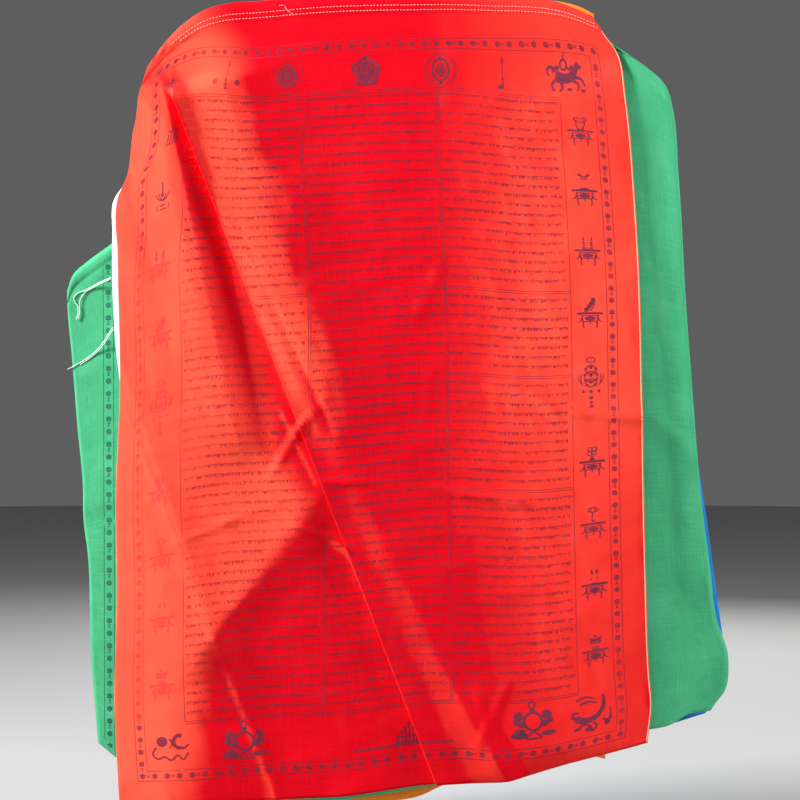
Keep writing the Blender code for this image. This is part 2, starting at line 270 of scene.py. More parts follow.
RED_LAP = Lap(-0.277, 0.140, 0.049, 0.9925, 0.009, 0.018, 0.007, 0.085)
RED_FOLDS = [
    Fold(-0.287, 0.150, -0.205, 0.540, 0.012, 0.011, 0.070, 0.040, 0.2),
    Fold(-0.216, 0.115, -0.085, 0.500, 0.009, 0.005, 0.058, 0.100, 0.1),
    Fold(-0.235, 0.211, 0.121, 0.976, 0.004, 0.013, 0.040, 0.12, 0.3),
    Fold(-0.350, 0.450, -0.152, 1.005, 0.003, 0.005, 0.030, 0.030, 0.7),
    Fold(-0.238, 0.812, -0.105, 0.635, 0.008, 0.006, 0.055, 0.12, 0.6),
    Fold(0.072, 0.870, 0.135, 0.980, 0.003, 0.010, 0.025, 0.030, 0.5),
    Fold(0.175, 0.505, 0.301, 0.530, 0.003, 0.004, 0.022, 0.030, 0.5),
]
RED_CREASES = [
    Fold(-0.270, 0.684, -0.213, 0.660, 0.0012, 0.0018, 0.006, 0.011, 0.3),
    Fold(-0.213, 0.660, -0.160, 0.640, 0.0018, 0.0010, 0.006, 0.011, 0.3),
    Fold(-0.340, 0.520, -0.149, 1.005, 0.0009, 0.0013, 0.009, 0.006, 0.3),
    Fold(-0.101, 0.517, -0.124, 0.543, 0.0015, 0.0027, 0.010, 0.010, 0.3),
    Fold(-0.124, 0.543, -0.156, 0.596, 0.0027, 0.0018, 0.010, 0.010, 0.3),
    Fold(-0.140, 0.530, -0.105, 0.600, 0.0021, 0.0018, 0.008, 0.012, 0.3),
    Fold(-0.111, 0.671, -0.070, 0.689, 0.0024, 0.0027, 0.010, 0.010, 0.3),
    Fold(-0.070, 0.689, -0.054, 0.704, 0.0027, 0.0015, 0.010, 0.010, 0.3),
    Fold(-0.085, 0.610, -0.041, 0.610, 0.0021, 0.0015, 0.008, 0.010, 0.3),
    Fold(0.175, 0.505, 0.191, 0.520, 0.0012, 0.0014, 0.010, 0.012, 0.3),
    Fold(0.191, 0.520, 0.224, 0.526, 0.0014, 0.0012, 0.010, 0.012, 0.3),
    Fold(0.224, 0.526, 0.301, 0.530, 0.0012, 0.0010, 0.008, 0.010, 0.3),
    Fold(0.051, 0.621, 0.146, 0.635, 0.0018, 0.0021, 0.010, 0.012, 0.3),
    Fold(0.146, 0.635, 0.201, 0.640, 0.0021, 0.0014, 0.010, 0.012, 0.3),
    Fold(0.045, 0.356, 0.024, 0.401, 0.0011, 0.0010, 0.013, 0.012, 0.1),
    Fold(0.0375, 0.480, 0.034, 0.520, 0.0008, 0.0008, 0.013, 0.012, 0.1),
    Fold(-0.018, 0.500, -0.004, 0.535, 0.0010, 0.0010, 0.013, 0.012, 0.1),
    Fold(-0.162, 0.411, -0.117, 0.435, 0.0018, 0.0012, 0.010, 0.010, 0.3),
    Fold(0.068, 0.030, 0.066, 0.125, 0.0012, 0.0012, 0.022, 0.022, 0.0),
    Fold(0.100, 0.885, 0.118, 0.945, 0.0021, 0.0030, 0.012, 0.012, 0.3),
    Fold(0.130, 0.870, 0.100, 0.930, 0.0018, 0.0024, 0.010, 0.014, 0.3),
    Fold(-0.240, 0.205, -0.174, 0.341, -0.0005, -0.0010, 0.007, 0.010, 0.4),
    Fold(-0.168, 0.362, -0.088, 0.535, -0.0012, -0.0034, 0.015, 0.007, 0.3),
    Fold(-0.290, 0.068, -0.262, 0.058, -0.0030, -0.0015, 0.008, 0.006, 0.4),
]
GREEN_NEAR_FOLDS = [
    Fold(0.345, 0.13, 0.385, 0.72, 0.010, 0.012, 0.045, 0.030, 0.0),
    Fold(0.300, 0.085, 0.331, 0.551, 0.003, 0.001, 0.035, 0.025, 0.4),
    Fold(0.337, 0.551, 0.372, 0.585, 0.003, 0.003, 0.020, 0.020, 0.5),
    Fold(0.330, 0.870, 0.400, 0.822, 0.003, 0.004, 0.030, 0.045, 0.5),
    Fold(-0.100, 0.300, -0.060, 0.980, 0.001, 0.003, 0.14, 0.14, 0.0),
]
GREEN_NEAR_CREASES = [
    Fold(0.362, 0.657, 0.381, 0.689, 0.0012, 0.0010, 0.008, 0.012, 0.8),
    Fold(0.280, 0.078, 0.333, 0.133, 0.0035, 0.0030, 0.014, 0.020, 0.3),
    Fold(0.316, 0.200, 0.328, 0.420, 0.0008, 0.0008, 0.012, 0.012, 0.6),
    Fold(0.334, 0.540, 0.370, 0.572, 0.0010, 0.0014, 0.008, 0.010, 0.8),
]
GREEN_FAR_CREASES = [
    Fold(-0.402, 0.664, -0.355, 0.661, 0.0014, 0.0012, 0.008, 0.010, 0.9),
    Fold(-0.410, 0.380, -0.375, 0.345, 0.0012, 0.0012, 0.012, 0.016, 0.6),
    Fold(-0.400, 0.560, -0.380, 0.610, 0.0008, 0.0008, 0.010, 0.012, 0.6),
]
BLUE_FOLDS = [
    Fold(-0.235, 0.110, -0.090, 0.960, -0.003, -0.012, 0.07, 0.12, 0.3),
    Fold(0.255, 0.110, 0.130, 0.940, -0.002, -0.009, 0.10, 0.07, 0.3),
    Fold(-0.200, 0.700, 0.100, 0.560, -0.003, -0.002, 0.05, 0.05, 0.4),
]
BLUE_CREASES = [
    Fold(-0.120, 0.300, -0.060, 0.420, -0.0012, -0.0012, 0.012, 0.012, 0.8),
    Fold(0.060, 0.620, 0.180, 0.600, -0.0012, -0.0014, 0.010, 0.014, 0.8),
    Fold(-0.180, 0.520, -0.090, 0.600, -0.0014, -0.0010, 0.010, 0.014, 0.8),
]

FLAGS = [
    Flag(
        name="flag_red",
        layer=0,
        slot="red_cloth",
        columns=(80, 18, 88),
        rows=248,
        printed_side=FRONT,
        left=[
            (-0.315, 0.0925), (-0.325, 0.1263), (-0.336, 0.1700), (-0.3438, 0.2300), (-0.3538, 0.2538),
            (-0.3538, 0.3287), (-0.3500, 0.4813), (-0.3550, 0.6325), (-0.3538, 0.7450), (-0.3569, 0.8988),
            (-0.3506, 1.0150),
        ],
        right=[
            (0.240, 0.0275), (0.2562, 0.0513), (0.2712, 0.0725), (0.2812, 0.1325), (0.2925, 0.2575),
            (0.2988, 0.3825), (0.3013, 0.5075), (0.3050, 0.7075), (0.3106, 0.8588), (0.3125, 0.8800),
            (0.3069, 0.9325),
        ],
        top=[
            (-0.315, 0.0925), (-0.300, 0.0700), (-0.275, 0.0413), (-0.2412, 0.0187), (-0.2188, 0.0125),
            (-0.175, 0.0088), (-0.100, 0.0025), (0.0, 0.0), (0.100, 0.0013), (0.200, 0.0112),
            (0.240, 0.0275),
        ],
        foot=[
            (-0.3506, 1.0150), (-0.250, 1.0112), (-0.150, 1.0063), (-0.0788, 1.0037), (0.025, 0.9888),
            (0.140, 0.9800), (0.2162, 0.9587), (0.3069, 0.9325),
        ],
        folds=RED_FOLDS,
        creases=RED_CREASES,
        lap=RED_LAP,
    ),
    Flag(
        name="flag_white",
        layer=1,
        slot="white_cloth",
        columns=(80,),
        rows=110,
        printed_side=BACK,
        left=[
            (-0.3088, 0.1000), (-0.3300, 0.1700), (-0.3412, 0.2325), (-0.3581, 0.2587), (-0.3596, 0.2988),
            (-0.3588, 0.3825), (-0.3550, 0.4425), (-0.3475, 0.5112), (-0.3500, 0.6325), (-0.3513, 0.8225),
            (-0.3450, 1.0025),
        ],
        right=[(0.237, 0.0335), (0.266, 0.0850), (0.284, 0.2575), (0.291, 0.5700), (0.295, 0.9225)],
        top=[
            (-0.3088, 0.1000), (-0.270, 0.0460), (-0.2412, 0.0237), (-0.175, 0.0138), (-0.100, 0.0075),
            (0.0, 0.0050), (0.100, 0.0063), (0.200, 0.0162), (0.237, 0.0335),
        ],
        foot=[(-0.345, 1.0025), (-0.150, 0.9950), (0.0825, 0.9725), (0.295, 0.9225)],
        folds=[Fold(-0.150, 0.250, -0.080, 0.950, 0.001, 0.003, 0.12, 0.12, 0.0)],
    ),
    Flag(
        name="flag_green_near",
        layer=2,
        slot="green_cloth",
        columns=(100,),
        rows=130,
        printed_side=BACK,
        left=[(-0.295, 0.0840), (-0.296, 0.3500), (-0.290, 0.7000), (-0.285, 1.0075)],
        right=[
            (0.2725, 0.0700), (0.305, 0.0887), (0.3312, 0.1138), (0.340, 0.1425), (0.3475, 0.2225),
            (0.3575, 0.3900), (0.3663, 0.5075), (0.375, 0.6162), (0.3862, 0.7025), (0.3987, 0.7825),
            (0.4138, 0.8350), (0.4088, 0.8750), (0.3962, 0.8912), (0.3912, 0.8988),
        ],
        top=[
            (-0.295, 0.0840), (-0.2412, 0.0287), (-0.175, 0.0188), (-0.100, 0.0125), (0.0, 0.0100),
            (0.100, 0.0113), (0.200, 0.0220), (0.235, 0.0400), (0.2725, 0.0700),
        ],
        foot=[
            (-0.285, 1.0075), (-0.150, 1.0125), (-0.0788, 1.0100), (0.025, 0.9950), (0.0912, 0.9850),
            (0.200, 0.9563), (0.3075, 0.9188), (0.3375, 0.9138), (0.360, 0.9025), (0.3912, 0.8988),
        ],
        folds=GREEN_NEAR_FOLDS,
        creases=GREEN_NEAR_CREASES,
    ),
    Flag(
        name="flag_yellow",
        layer=3,
        slot="yellow_cloth",
        columns=(80,),
        rows=110,
        printed_side=FRONT,
        left=[(-0.300, 0.0900), (-0.338, 0.2600), (-0.340, 0.6000), (-0.3425, 1.0075)],
        right=[(0.243, 0.0230), (0.252, 0.2500), (0.254, 0.6000), (0.2575, 0.9575)],
        top=[
            (-0.300, 0.0900), (-0.250, 0.0290), (-0.200, 0.0140), (-0.100, 0.0050), (0.0, 0.0025),
            (0.100, 0.0015), (0.1625, 0.0045), (0.200, 0.0075), (0.225, 0.0138), (0.243, 0.0230),
        ],
        foot=[
            (-0.3425, 1.0075), (-0.250, 1.0137), (-0.125, 1.0150), (-0.0375, 1.0137), (0.025, 1.0063),
            (0.0537, 0.9930), (0.140, 0.9813), (0.2162, 0.9613), (0.2350, 0.9537), (0.2575, 0.9575),
        ],
        folds=[Fold(0.100, 0.300, 0.140, 0.950, 0.001, 0.003, 0.12, 0.12, 0.0)],
    ),
    Flag(
        name="flag_green_far",
        layer=4,
        slot="green_cloth",
        columns=(100,),
        rows=120,
        printed_side=FRONT,
        left=[
            (-0.4194, 0.3700), (-0.4190, 0.3950), (-0.4138, 0.4525), (-0.4075, 0.5388), (-0.4005, 0.6188),
            (-0.4000, 0.6600), (-0.3950, 0.6987), (-0.3912, 0.8263), (-0.3825, 0.9413),
        ],
        right=[(0.242, 0.0425), (0.248, 0.2500), (0.246, 0.6000), (0.250, 0.9300)],
        top=[
            (-0.4194, 0.3700), (-0.4113, 0.3488), (-0.3925, 0.3325), (-0.3588, 0.3088), (-0.3125, 0.2675),
            (-0.2625, 0.1950), (-0.200, 0.0950), (-0.1375, 0.0375), (0.0, 0.0150), (0.125, 0.0175),
            (0.200, 0.0260), (0.242, 0.0425),
        ],
        foot=[(-0.3825, 0.9413), (-0.3525, 0.9637), (-0.250, 0.9850), (0.0, 0.9775), (0.250, 0.9300)],
        folds=GREEN_FAR_FOLDS,
        creases=GREEN_FAR_CREASES,
    ),
    Flag(
        name="flag_blue",
        layer=5,
        slot="blue_cloth",
        columns=(100,),
        rows=130,
        printed_side=BACK,
        left=[(-0.262, 0.0700), (-0.262, 0.3500), (-0.258, 0.6500), (-0.255, 0.9700)],
        right=[
            (0.245, 0.0525), (0.300, 0.0975), (0.3325, 0.1950), (0.345, 0.3200), (0.3575, 0.4450),
            (0.375, 0.5787), (0.3887, 0.6638), (0.4012, 0.7500), (0.410, 0.8113), (0.4138, 0.8400),
            (0.4119, 0.8700), (0.3875, 0.9050),
        ],
        top=[
            (-0.262, 0.0700), (-0.230, 0.0360), (-0.150, 0.0220), (0.0, 0.0170), (0.125, 0.0190),
            (0.200, 0.0300), (0.245, 0.0525),
        ],
        foot=[(-0.255, 0.9700), (0.0, 0.9675), (0.200, 0.9450), (0.3138, 0.9213), (0.3875, 0.9050)],
        folds=BLUE_FOLDS,
        creases=BLUE_CREASES,
    ),
]


def between_edges(flag, u, v):
    """The place of the flat flag's point (u, v) when its four edges hang where the tables say."""
    top, foot = curve_through(flag.top, u), curve_through(flag.foot, u)
    left, right = curve_through(flag.left, v), curve_through(flag.right, v)
    u, v = u[..., None], v[..., None]
    corners = (1 - v) * ((1 - u) * np.array(flag.top[0]) + u * np.array(flag.top[-1]))
    corners = corners + v * ((1 - u) * np.array(flag.foot[0]) + u * np.array(flag.foot[-1]))
    place = (1 - v) * top + v * foot + (1 - u) * left + u * right - corners
    return place[..., 0], place[..., 1]


def lap_over(lap, across, down):
    """Moves the cloth on both sides of a lap towards its line, and brings its right side forward."""
    along, long, side = beside(lap, across, down)
    strength = ends(along, long, LAP_FADE)
    near = np.exp(-np.abs(side) / lap.reach)
    tuck = -lap.tuck * strength * near * np.tanh(1.5 * side / lap.turn)
    forward = lap.rise * strength * smooth_step(0.5 + 0.5 * side / lap.turn)
    return across + tuck, forward * np.exp(-np.maximum(side, 0.0) / lap.reach)


# Each wave of the crumple: its length in metres, its turn, and its height.
CRUMPLE = [
    (0.21, 0.9, 0.00050), (0.13, -0.5, 0.00040), (0.083, 0.35, 0.00030), (0.047, -1.1, 0.00016),
    (0.031, 0.6, 0.00010),
]


def crumple(layer, across, down):
    """Small uneven waves all over a sheet, calm at its hem, so that no two sheets are alike."""
    total = 0.0
    for k, (length, turn, height) in enumerate(CRUMPLE):
        run = across * math.cos(turn) + down * math.sin(turn)
        other = down * math.cos(turn) - across * math.sin(turn)
        bend = 0.35 * np.sin(2 * math.pi * other / (1.7 * length) + 1.3 * k + 2.1 * layer)
        total = total + height * np.sin(2 * math.pi * (run / length + bend) + 0.7 * k * k + layer)
    return total * smooth_step((down - 0.03) / 0.12)


def hang_depth(flag, across, down):
    """How far back a flag's cloth hangs at a place, with its folds, creases and crumple."""
    forward = sum(rise(fold, across, down) for fold in flag.folds)
    forward = forward + sum(rise(crease, across, down, SHORT_FADE) for crease in flag.creases)
    return depth_of(flag.layer, across, down) - forward - crumple(flag.layer, across, down)


def place_on(flag, u, v):
    """Where the flat flag's points hang: across, depth and down."""
    across, down = between_edges(flag, u, v)
    forward = 0.0
    if flag.lap:
        across, forward = lap_over(flag.lap, across, down)
    return across, hang_depth(flag, across, down) - forward, down


def columns_of(flag, v):
    """The share across of each column in each row; with a lap, one block of columns follows its line."""
    if not flag.lap:
        return np.tile(np.linspace(0.0, 1.0, flag.columns[0] + 1), (len(v), 1))
    rows = []
    for share_down in v:
        shares = np.linspace(0.0, 1.0, 201)
        across, down = between_edges(flag, shares, np.full(201, share_down))
        middle = max(LAP_LEAST, np.interp(0.0, beside(flag.lap, across, down)[2], shares))
        stops = [0.0, middle - LAP_BLOCK, middle + LAP_BLOCK, 1.0]
        parts = [
            np.linspace(start, end, count, endpoint=False)
            for start, end, count in zip(stops, stops[1:], flag.columns)
        ]
        rows.append(np.concatenate([*parts, [1.0]]))
    return np.array(rows)


CLOTH_LOOKS = {
    # slot: mid colour, shaded threads, worn or thin places
    "red_cloth": ((0.82, 0.0035, 0.014), (0.60, 0.002, 0.010), (0.90, 0.014, 0.018)),
    "white_cloth": ((0.84, 0.82, 0.90), (0.62, 0.60, 0.72), (0.92, 0.90, 0.95)),
    "green_cloth": ((0.070, 0.50, 0.235), (0.035, 0.32, 0.14), (0.14, 0.62, 0.34)),
    "yellow_cloth": ((1.0, 0.32, 0.010), (0.70, 0.17, 0.004), (1.0, 0.42, 0.04)),
    "blue_cloth": ((0.0, 0.25, 0.70), (0.0, 0.12, 0.42), (0.03, 0.36, 0.85)),
}
THREADS_PER_M = 1100.0
# The clean orange red that the red cloth turns towards where its light and shade are painted in.
PAINTED_LIT_RED = (1.0, 0.098, 0.055)


def cloth_paint(slot):
    """Plain weave: fine crossing threads, slubs along them, and soft uneven dye; the red cloth also gets
    painted light and shade.
    """
    mid, shade, thin = CLOTH_LOOKS[slot]
    paint = Paint(slot, roughness=0.82, sheen=0.12)
    flat = paint.node("ShaderNodeUVMap", {"uv_map": "flat"})
    parts = paint.tree.nodes.new("ShaderNodeSeparateXYZ")
    paint.tree.links.new(flat.socket, parts.inputs[0])
    x, y = Value(paint, parts.outputs[0]), Value(paint, parts.outputs[1])
    warp = (x * (THREADS_PER_M * math.pi)).maths("SINE").maths("ABSOLUTE")
    weft = (y * (THREADS_PER_M * math.pi)).maths("SINE").maths("ABSOLUTE")

    def slub(long_way, short_way):
        stretched = paint.node("ShaderNodeMapping", None, flat, Scale=(long_way, short_way, 1.0))
        return paint.node("ShaderNodeTexNoise", None, Vector=stretched, Scale=1.0, Detail=3.0, Roughness=0.6)

    across_slubs, down_slubs = slub(24.0, 620.0), slub(620.0, 24.0)
    dye = paint.node("ShaderNodeTexNoise", None, Vector=flat, Scale=7.0, Detail=4.0, Roughness=0.55)
    threads = across_slubs * 0.5 + down_slubs * 0.5
    shaded = paint.blend((threads - 0.36) * 2.4, shade, mid)
    thinned = ((dye - 0.52) * 1.6).maths("MAXIMUM", 0.0).maths("MINIMUM", 0.35)
    colour = paint.blend(thinned, shaded, thin)
    if slot == "red_cloth":
        # On the red cloth a point attribute paints light and shade into the colour: orange red where painted
        # lit, deep red where painted shaded.
        bare = paint.node("ShaderNodeAttribute", {"attribute_name": "bare"}, out="Fac")
        colour = paint.blend(bare * (0.72 + dye * 0.5), colour, PAINTED_LIT_RED)
        paint.shader.inputs["Sheen Tint"].default_value = (1.0, 0.18, 0.10, 1.0)
        paint.shader.inputs["Specular IOR Level"].default_value = 0.02
        paint.shader.inputs["Sheen Weight"].default_value = 0.06
    paint.feed("Base Color", colour)
    paint.feed("Roughness", 0.72 + threads * 0.22)
    relief = (warp * 0.5 + weft * 0.5) * 0.35 + threads
    paint.feed("Normal", paint.node("ShaderNodeBump", None, Strength=0.35, Distance=0.0006, Height=relief))
    return paint.material


# Where the painted light ends, left of the lap and right of it: how far down, how far across, how softly.
PAINTED_LIT_LEFT = [
    (0.170, -0.280, 0.03), (0.190, -0.276, 0.04), (0.2575, -0.254, 0.07), (0.3325, -0.232, 0.09),
    (0.4075, -0.215, 0.10), (0.4825, -0.190, 0.09), (0.520, -0.178, 0.08), (0.570, -0.165, 0.06),
    (0.6325, -0.115, 0.04), (0.6575, -0.124, 0.035), (0.7075, -0.161, 0.035), (0.7575, -0.198, 0.035),
    (0.8075, -0.235, 0.03), (0.8325, -0.245, 0.04), (1.000, -0.252, 0.05),
]
PAINTED_LIT_RIGHT = [
    (0.0075, -0.255, 0.08), (0.0575, -0.212, 0.06), (0.1325, -0.193, 0.06), (0.190, -0.180, 0.06),
    (0.2325, -0.158, 0.07), (0.2825, -0.153, 0.10), (0.3325, -0.140, 0.12), (0.3825, -0.122, 0.10),
    (0.4325, -0.094, 0.06), (0.4825, -0.074, 0.06), (0.5325, -0.062, 0.06),
]
# Left of the narrow crease beside the lap the colour holds painted shade. Heights here are shares of the
# painted light's change.
CREASE_SHADE = Fold(-0.160, 0.380, -0.090, 0.530, 0.15, 0.80, 0.020, 0.003, 0.0)
SLOPE_STEP = 0.004


def bright_side(stops, across, down):
    """One on the left of the edge that a table gives, and nothing on its right."""
    downs, edges, softs = np.array(stops).T
    return smooth_step(0.5 + (np.interp(down, downs, edges) - across) / np.interp(down, downs, softs))


def bareness(flag, u, v):
    """From 0 to 1, how far the red's colour is painted lit: painted light turns it a clean orange red left of
    the lap, in a strip right of it, on the right side and on slopes that face the front left lamp; painted
    shade keeps it deep red under the middle of the printed block, on slopes turned away, beside the crease
    and towards the foot. x and y are metres on the cloth."""
    x, y = u * FLAG_WIDTH, v * FLAG_HEIGHT
    across, depth, down = place_on(flag, u, v)
    past_lap = smooth_step(0.5 + beside(flag.lap, across, down)[2] / 0.004)
    # Painted light zones: left of the lap, a strip right of it that fades downwards, and the right side;
    # painted shade darkens towards the foot and beside the crease.
    left = bright_side(PAINTED_LIT_LEFT, across, down) * (1 - 0.45 * smooth_step((down - 0.93) / 0.07))
    left = left * (0.84 + 0.16 * smooth_step((down - 0.28) / 0.10))
    lit_strip = bright_side(PAINTED_LIT_RIGHT, across, down) * (1 - smooth_step((down - 0.43) / 0.16))
    lit_strip = lit_strip * (0.65 + 0.35 * smooth_step((down - 0.02) / 0.05))
    lit_strip = lit_strip - np.minimum(lit_strip, rise(CREASE_SHADE, across, down, SHORT_FADE))
    right = 0.68 * smooth_step((x - 0.40) / 0.24) * (1 - 0.65 * smooth_step((y - 0.45) / 0.40))
    right = right * (0.7 + 0.3 * smooth_step((y - 0.15) / 0.20))
    lit_zones = 0.88 * (left * (1 - past_lap) + lit_strip * past_lap) + right
    # Painted light and shade by slope: cloth coming forward to the right faces the front left lamp and is
    # painted lighter, cloth going back is painted darker.
    next_across, next_depth, _ = place_on(flag, np.clip(u + SLOPE_STEP / FLAG_WIDTH, 0.0, 1.0), v)
    slope = (depth - next_depth) / np.maximum(np.abs(next_across - across), 0.001)
    calm = 1 - 0.6 * smooth_step((down - 0.48) / 0.12) * past_lap
    slope_lit = 0.45 * smooth_step((slope - 0.03) / 0.25) * calm
    slope_shaded = 0.60 * smooth_step((-slope - 0.08) / 0.26) * (1 - 0.7 * smooth_step((down - 0.20) / 0.10) * left)
    return np.clip(lit_zones + slope_lit - slope_shaded, 0.0, 1.0)


def make_flag(flag, material):
    """A thin sheet on a grid of rows and columns, thicker at its hem, with its flat size as its UV map."""
    hem = HEM_DEPTH / FLAG_HEIGHT
    below = np.linspace(hem + HEM_STEP / FLAG_HEIGHT, 1.0, flag.rows)
    down_shares = np.concatenate([[0.0, hem / 2, hem], below])
    u = columns_of(flag, down_shares)
    v = np.repeat(down_shares[:, None], u.shape[1], axis=1)
    across, depth, down = place_on(flag, u, v)
    bm = bmesh.new()
    bmesh.ops.create_grid(bm, x_segments=u.shape[1] - 1, y_segments=u.shape[0] - 1, size=0.5)
    bmesh.ops.reverse_faces(bm, faces=bm.faces)
    flat = bm.loops.layers.uv.new("flat")
    bm.verts.ensure_lookup_table()
    printed_across = (u if flag.printed_side == FRONT else 1 - u).ravel() * FLAG_WIDTH
    printed_down = v.ravel() * FLAG_HEIGHT
    for vert, x, y, z in zip(bm.verts, across.ravel(), depth.ravel(), -down.ravel()):
        vert.co = (x, y, z)
    for face in bm.faces:
        for loop in face.loops:
            loop[flat].uv = (printed_across[loop.vert.index], printed_down[loop.vert.index])
    mesh = bpy.data.meshes.new(flag.name + "_sheet")
    bm.to_mesh(mesh)
    bm.free()
    mesh.shade_smooth()
    if flag.lap:
        # The red flag's painted light and shade, stored on its points for the cloth's colour.
        bare = mesh.attributes.new("bare", "FLOAT", "POINT")
        bare.data.foreach_set("value", bareness(flag, u, v).ravel())
    mesh.materials.append(material)
    sheet = bpy.data.objects.new(flag.name + "_sheet", mesh)
    bpy.context.scene.collection.objects.link(sheet)
    group = sheet.vertex_groups.new(name="hem")
    group.add([i for i, share in enumerate(v.ravel()) if share <= hem], 1.0, "REPLACE")
    thick = sheet.modifiers.new("thickness", "SOLIDIFY")
    thick.thickness = HEM
    thick.offset = 0.0
    thick.vertex_group = group.name
    thick.thickness_vertex_group = CLOTH / HEM
    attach(sheet, "root")
    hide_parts(flag.name)
    return sheet


cloth = {slot: cloth_paint(slot) for slot in CLOTH_LOOKS}
sheets = {flag.name: make_flag(flag, cloth[flag.slot]) for flag in FLAGS}
flags = {flag.name: flag for flag in FLAGS}


# Each hem is sewn down with two rows of pinkish white thread, in running stitches that sink a little into the
# cloth. They show on the red flag's front and on the blue flag's back. A short end crosses the red rows.
STITCH_PITCH, STITCH_LONG, STITCH_THICK = 0.0042, 0.0033, 0.0007
STITCH_ROWS = (0.0156, 0.0225)
stitch_thread = thread_paint("stitch_thread", light=(0.92, 0.74, 0.72), dark=(0.70, 0.42, 0.42))


def add_stitch(bm, start, end, thick):
    """One short thread from start to end, as a slim rounded pod."""
    run = Vector(end) - Vector(start)
    turn = run.to_track_quat("X", "Z").to_matrix().to_4x4()
    size = Matrix.Diagonal((run.length / 2, thick / 2, thick / 2, 1.0))
    place = Matrix.Translation((Vector(start) + Vector(end)) / 2)
    bmesh.ops.create_icosphere(bm, subdivisions=1, radius=1.0, matrix=place @ turn @ size)


def hem_places(flag, side, below, shares):
    """Places on one side of a hem, so far below the top edge, at shares of the flag's width."""
    across, depth, down = place_on(flag, shares, np.full(len(shares), below / FLAG_HEIGHT))
    return np.stack([across, depth - side * (HEM / 2 + STITCH_THICK * 0.2), -down], axis=1)


def sew_hem(flag, side, firsts, last, loose=()):
    """Both rows of stitches from their first share across to the last, and a loose end through its stops."""
    bm = bmesh.new()
    for below, first in zip(STITCH_ROWS, firsts):
        row = hem_places(flag, side, below, np.linspace(first, last, 400))
        run = np.concatenate([[0.0], np.cumsum(np.linalg.norm(np.diff(row, axis=0), axis=1))])
        for start in np.arange(0.0, run[-1] - STITCH_LONG, STITCH_PITCH):
            stops = (start, start + STITCH_LONG)
            ends_at = np.stack([np.interp(stops, run, row[:, k]) for k in range(3)], axis=1)
            add_stitch(bm, ends_at[0], ends_at[1], STITCH_THICK)
    for (u, below), (next_u, next_below) in zip(loose, loose[1:]):
        start = hem_places(flag, side, below, np.array([u]))[0]
        end = hem_places(flag, side, next_below, np.array([next_u]))[0]
        add_stitch(bm, start - (0, side * 0.0006, 0), end - (0, side * 0.0006, 0), STITCH_THICK)
    mesh = bpy.data.meshes.new(flag.name + "_stitches")
    bm.to_mesh(mesh)
    bm.free()
    mesh.shade_smooth()
    mesh.materials.append(stitch_thread)
    rows = bpy.data.objects.new(flag.name + "_stitches", mesh)
    bpy.context.scene.collection.objects.link(rows)
    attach(rows, "root")
    return rows


red_stitches = sew_hem(
    flags["flag_red"], FRONT, (0.089, 0.118), 0.995,
    loose=[(0.332, 0.0085), (0.343, 0.0090), (0.350, 0.0165), (0.356, 0.0195), (0.361, 0.0225)],
)
blue_stitches = sew_hem(flags["flag_blue"], BACK, (0.005, 0.005), 0.995)


# Printing ink, block-printed on one side of each flag; here the whole print is drawn on the red and blue
# flags. The prayers' place holds rows of plain random strokes that are no lettering. Round the rows run ruled
# lines and a border of rosettes, and outside the rows stand common auspicious signs, most of them on low
# tables. Each mark is a thin film just in front of the cloth.
INK_CLEAR = 0.00018
EDGE_SHARE = 0.0005
BORDER_LEFT, BORDER_RIGHT, BORDER_TOP, BORDER_FOOT, BORDER_HALF = 0.0325, 0.6415, 0.070, 0.961, 0.0065
TEXT_LEFT, TEXT_RIGHT, TEXT_TOP, TEXT_FOOT, ROW_PITCH = 0.0925, 0.589, 0.128, 0.894, 0.0121
COLUMN_RULES = (0.264, 0.432)
CROSS_RULES = ((0.376, TEXT_LEFT), (0.484, COLUMN_RULES[1]), (0.629, COLUMN_RULES[1]))
RULE_APART = 0.0028
ROSETTE_PITCH = 0.016
LEFT_SIGNS, RIGHT_SIGNS, TOP_SIGNS = 0.0640, 0.6130, 0.1030


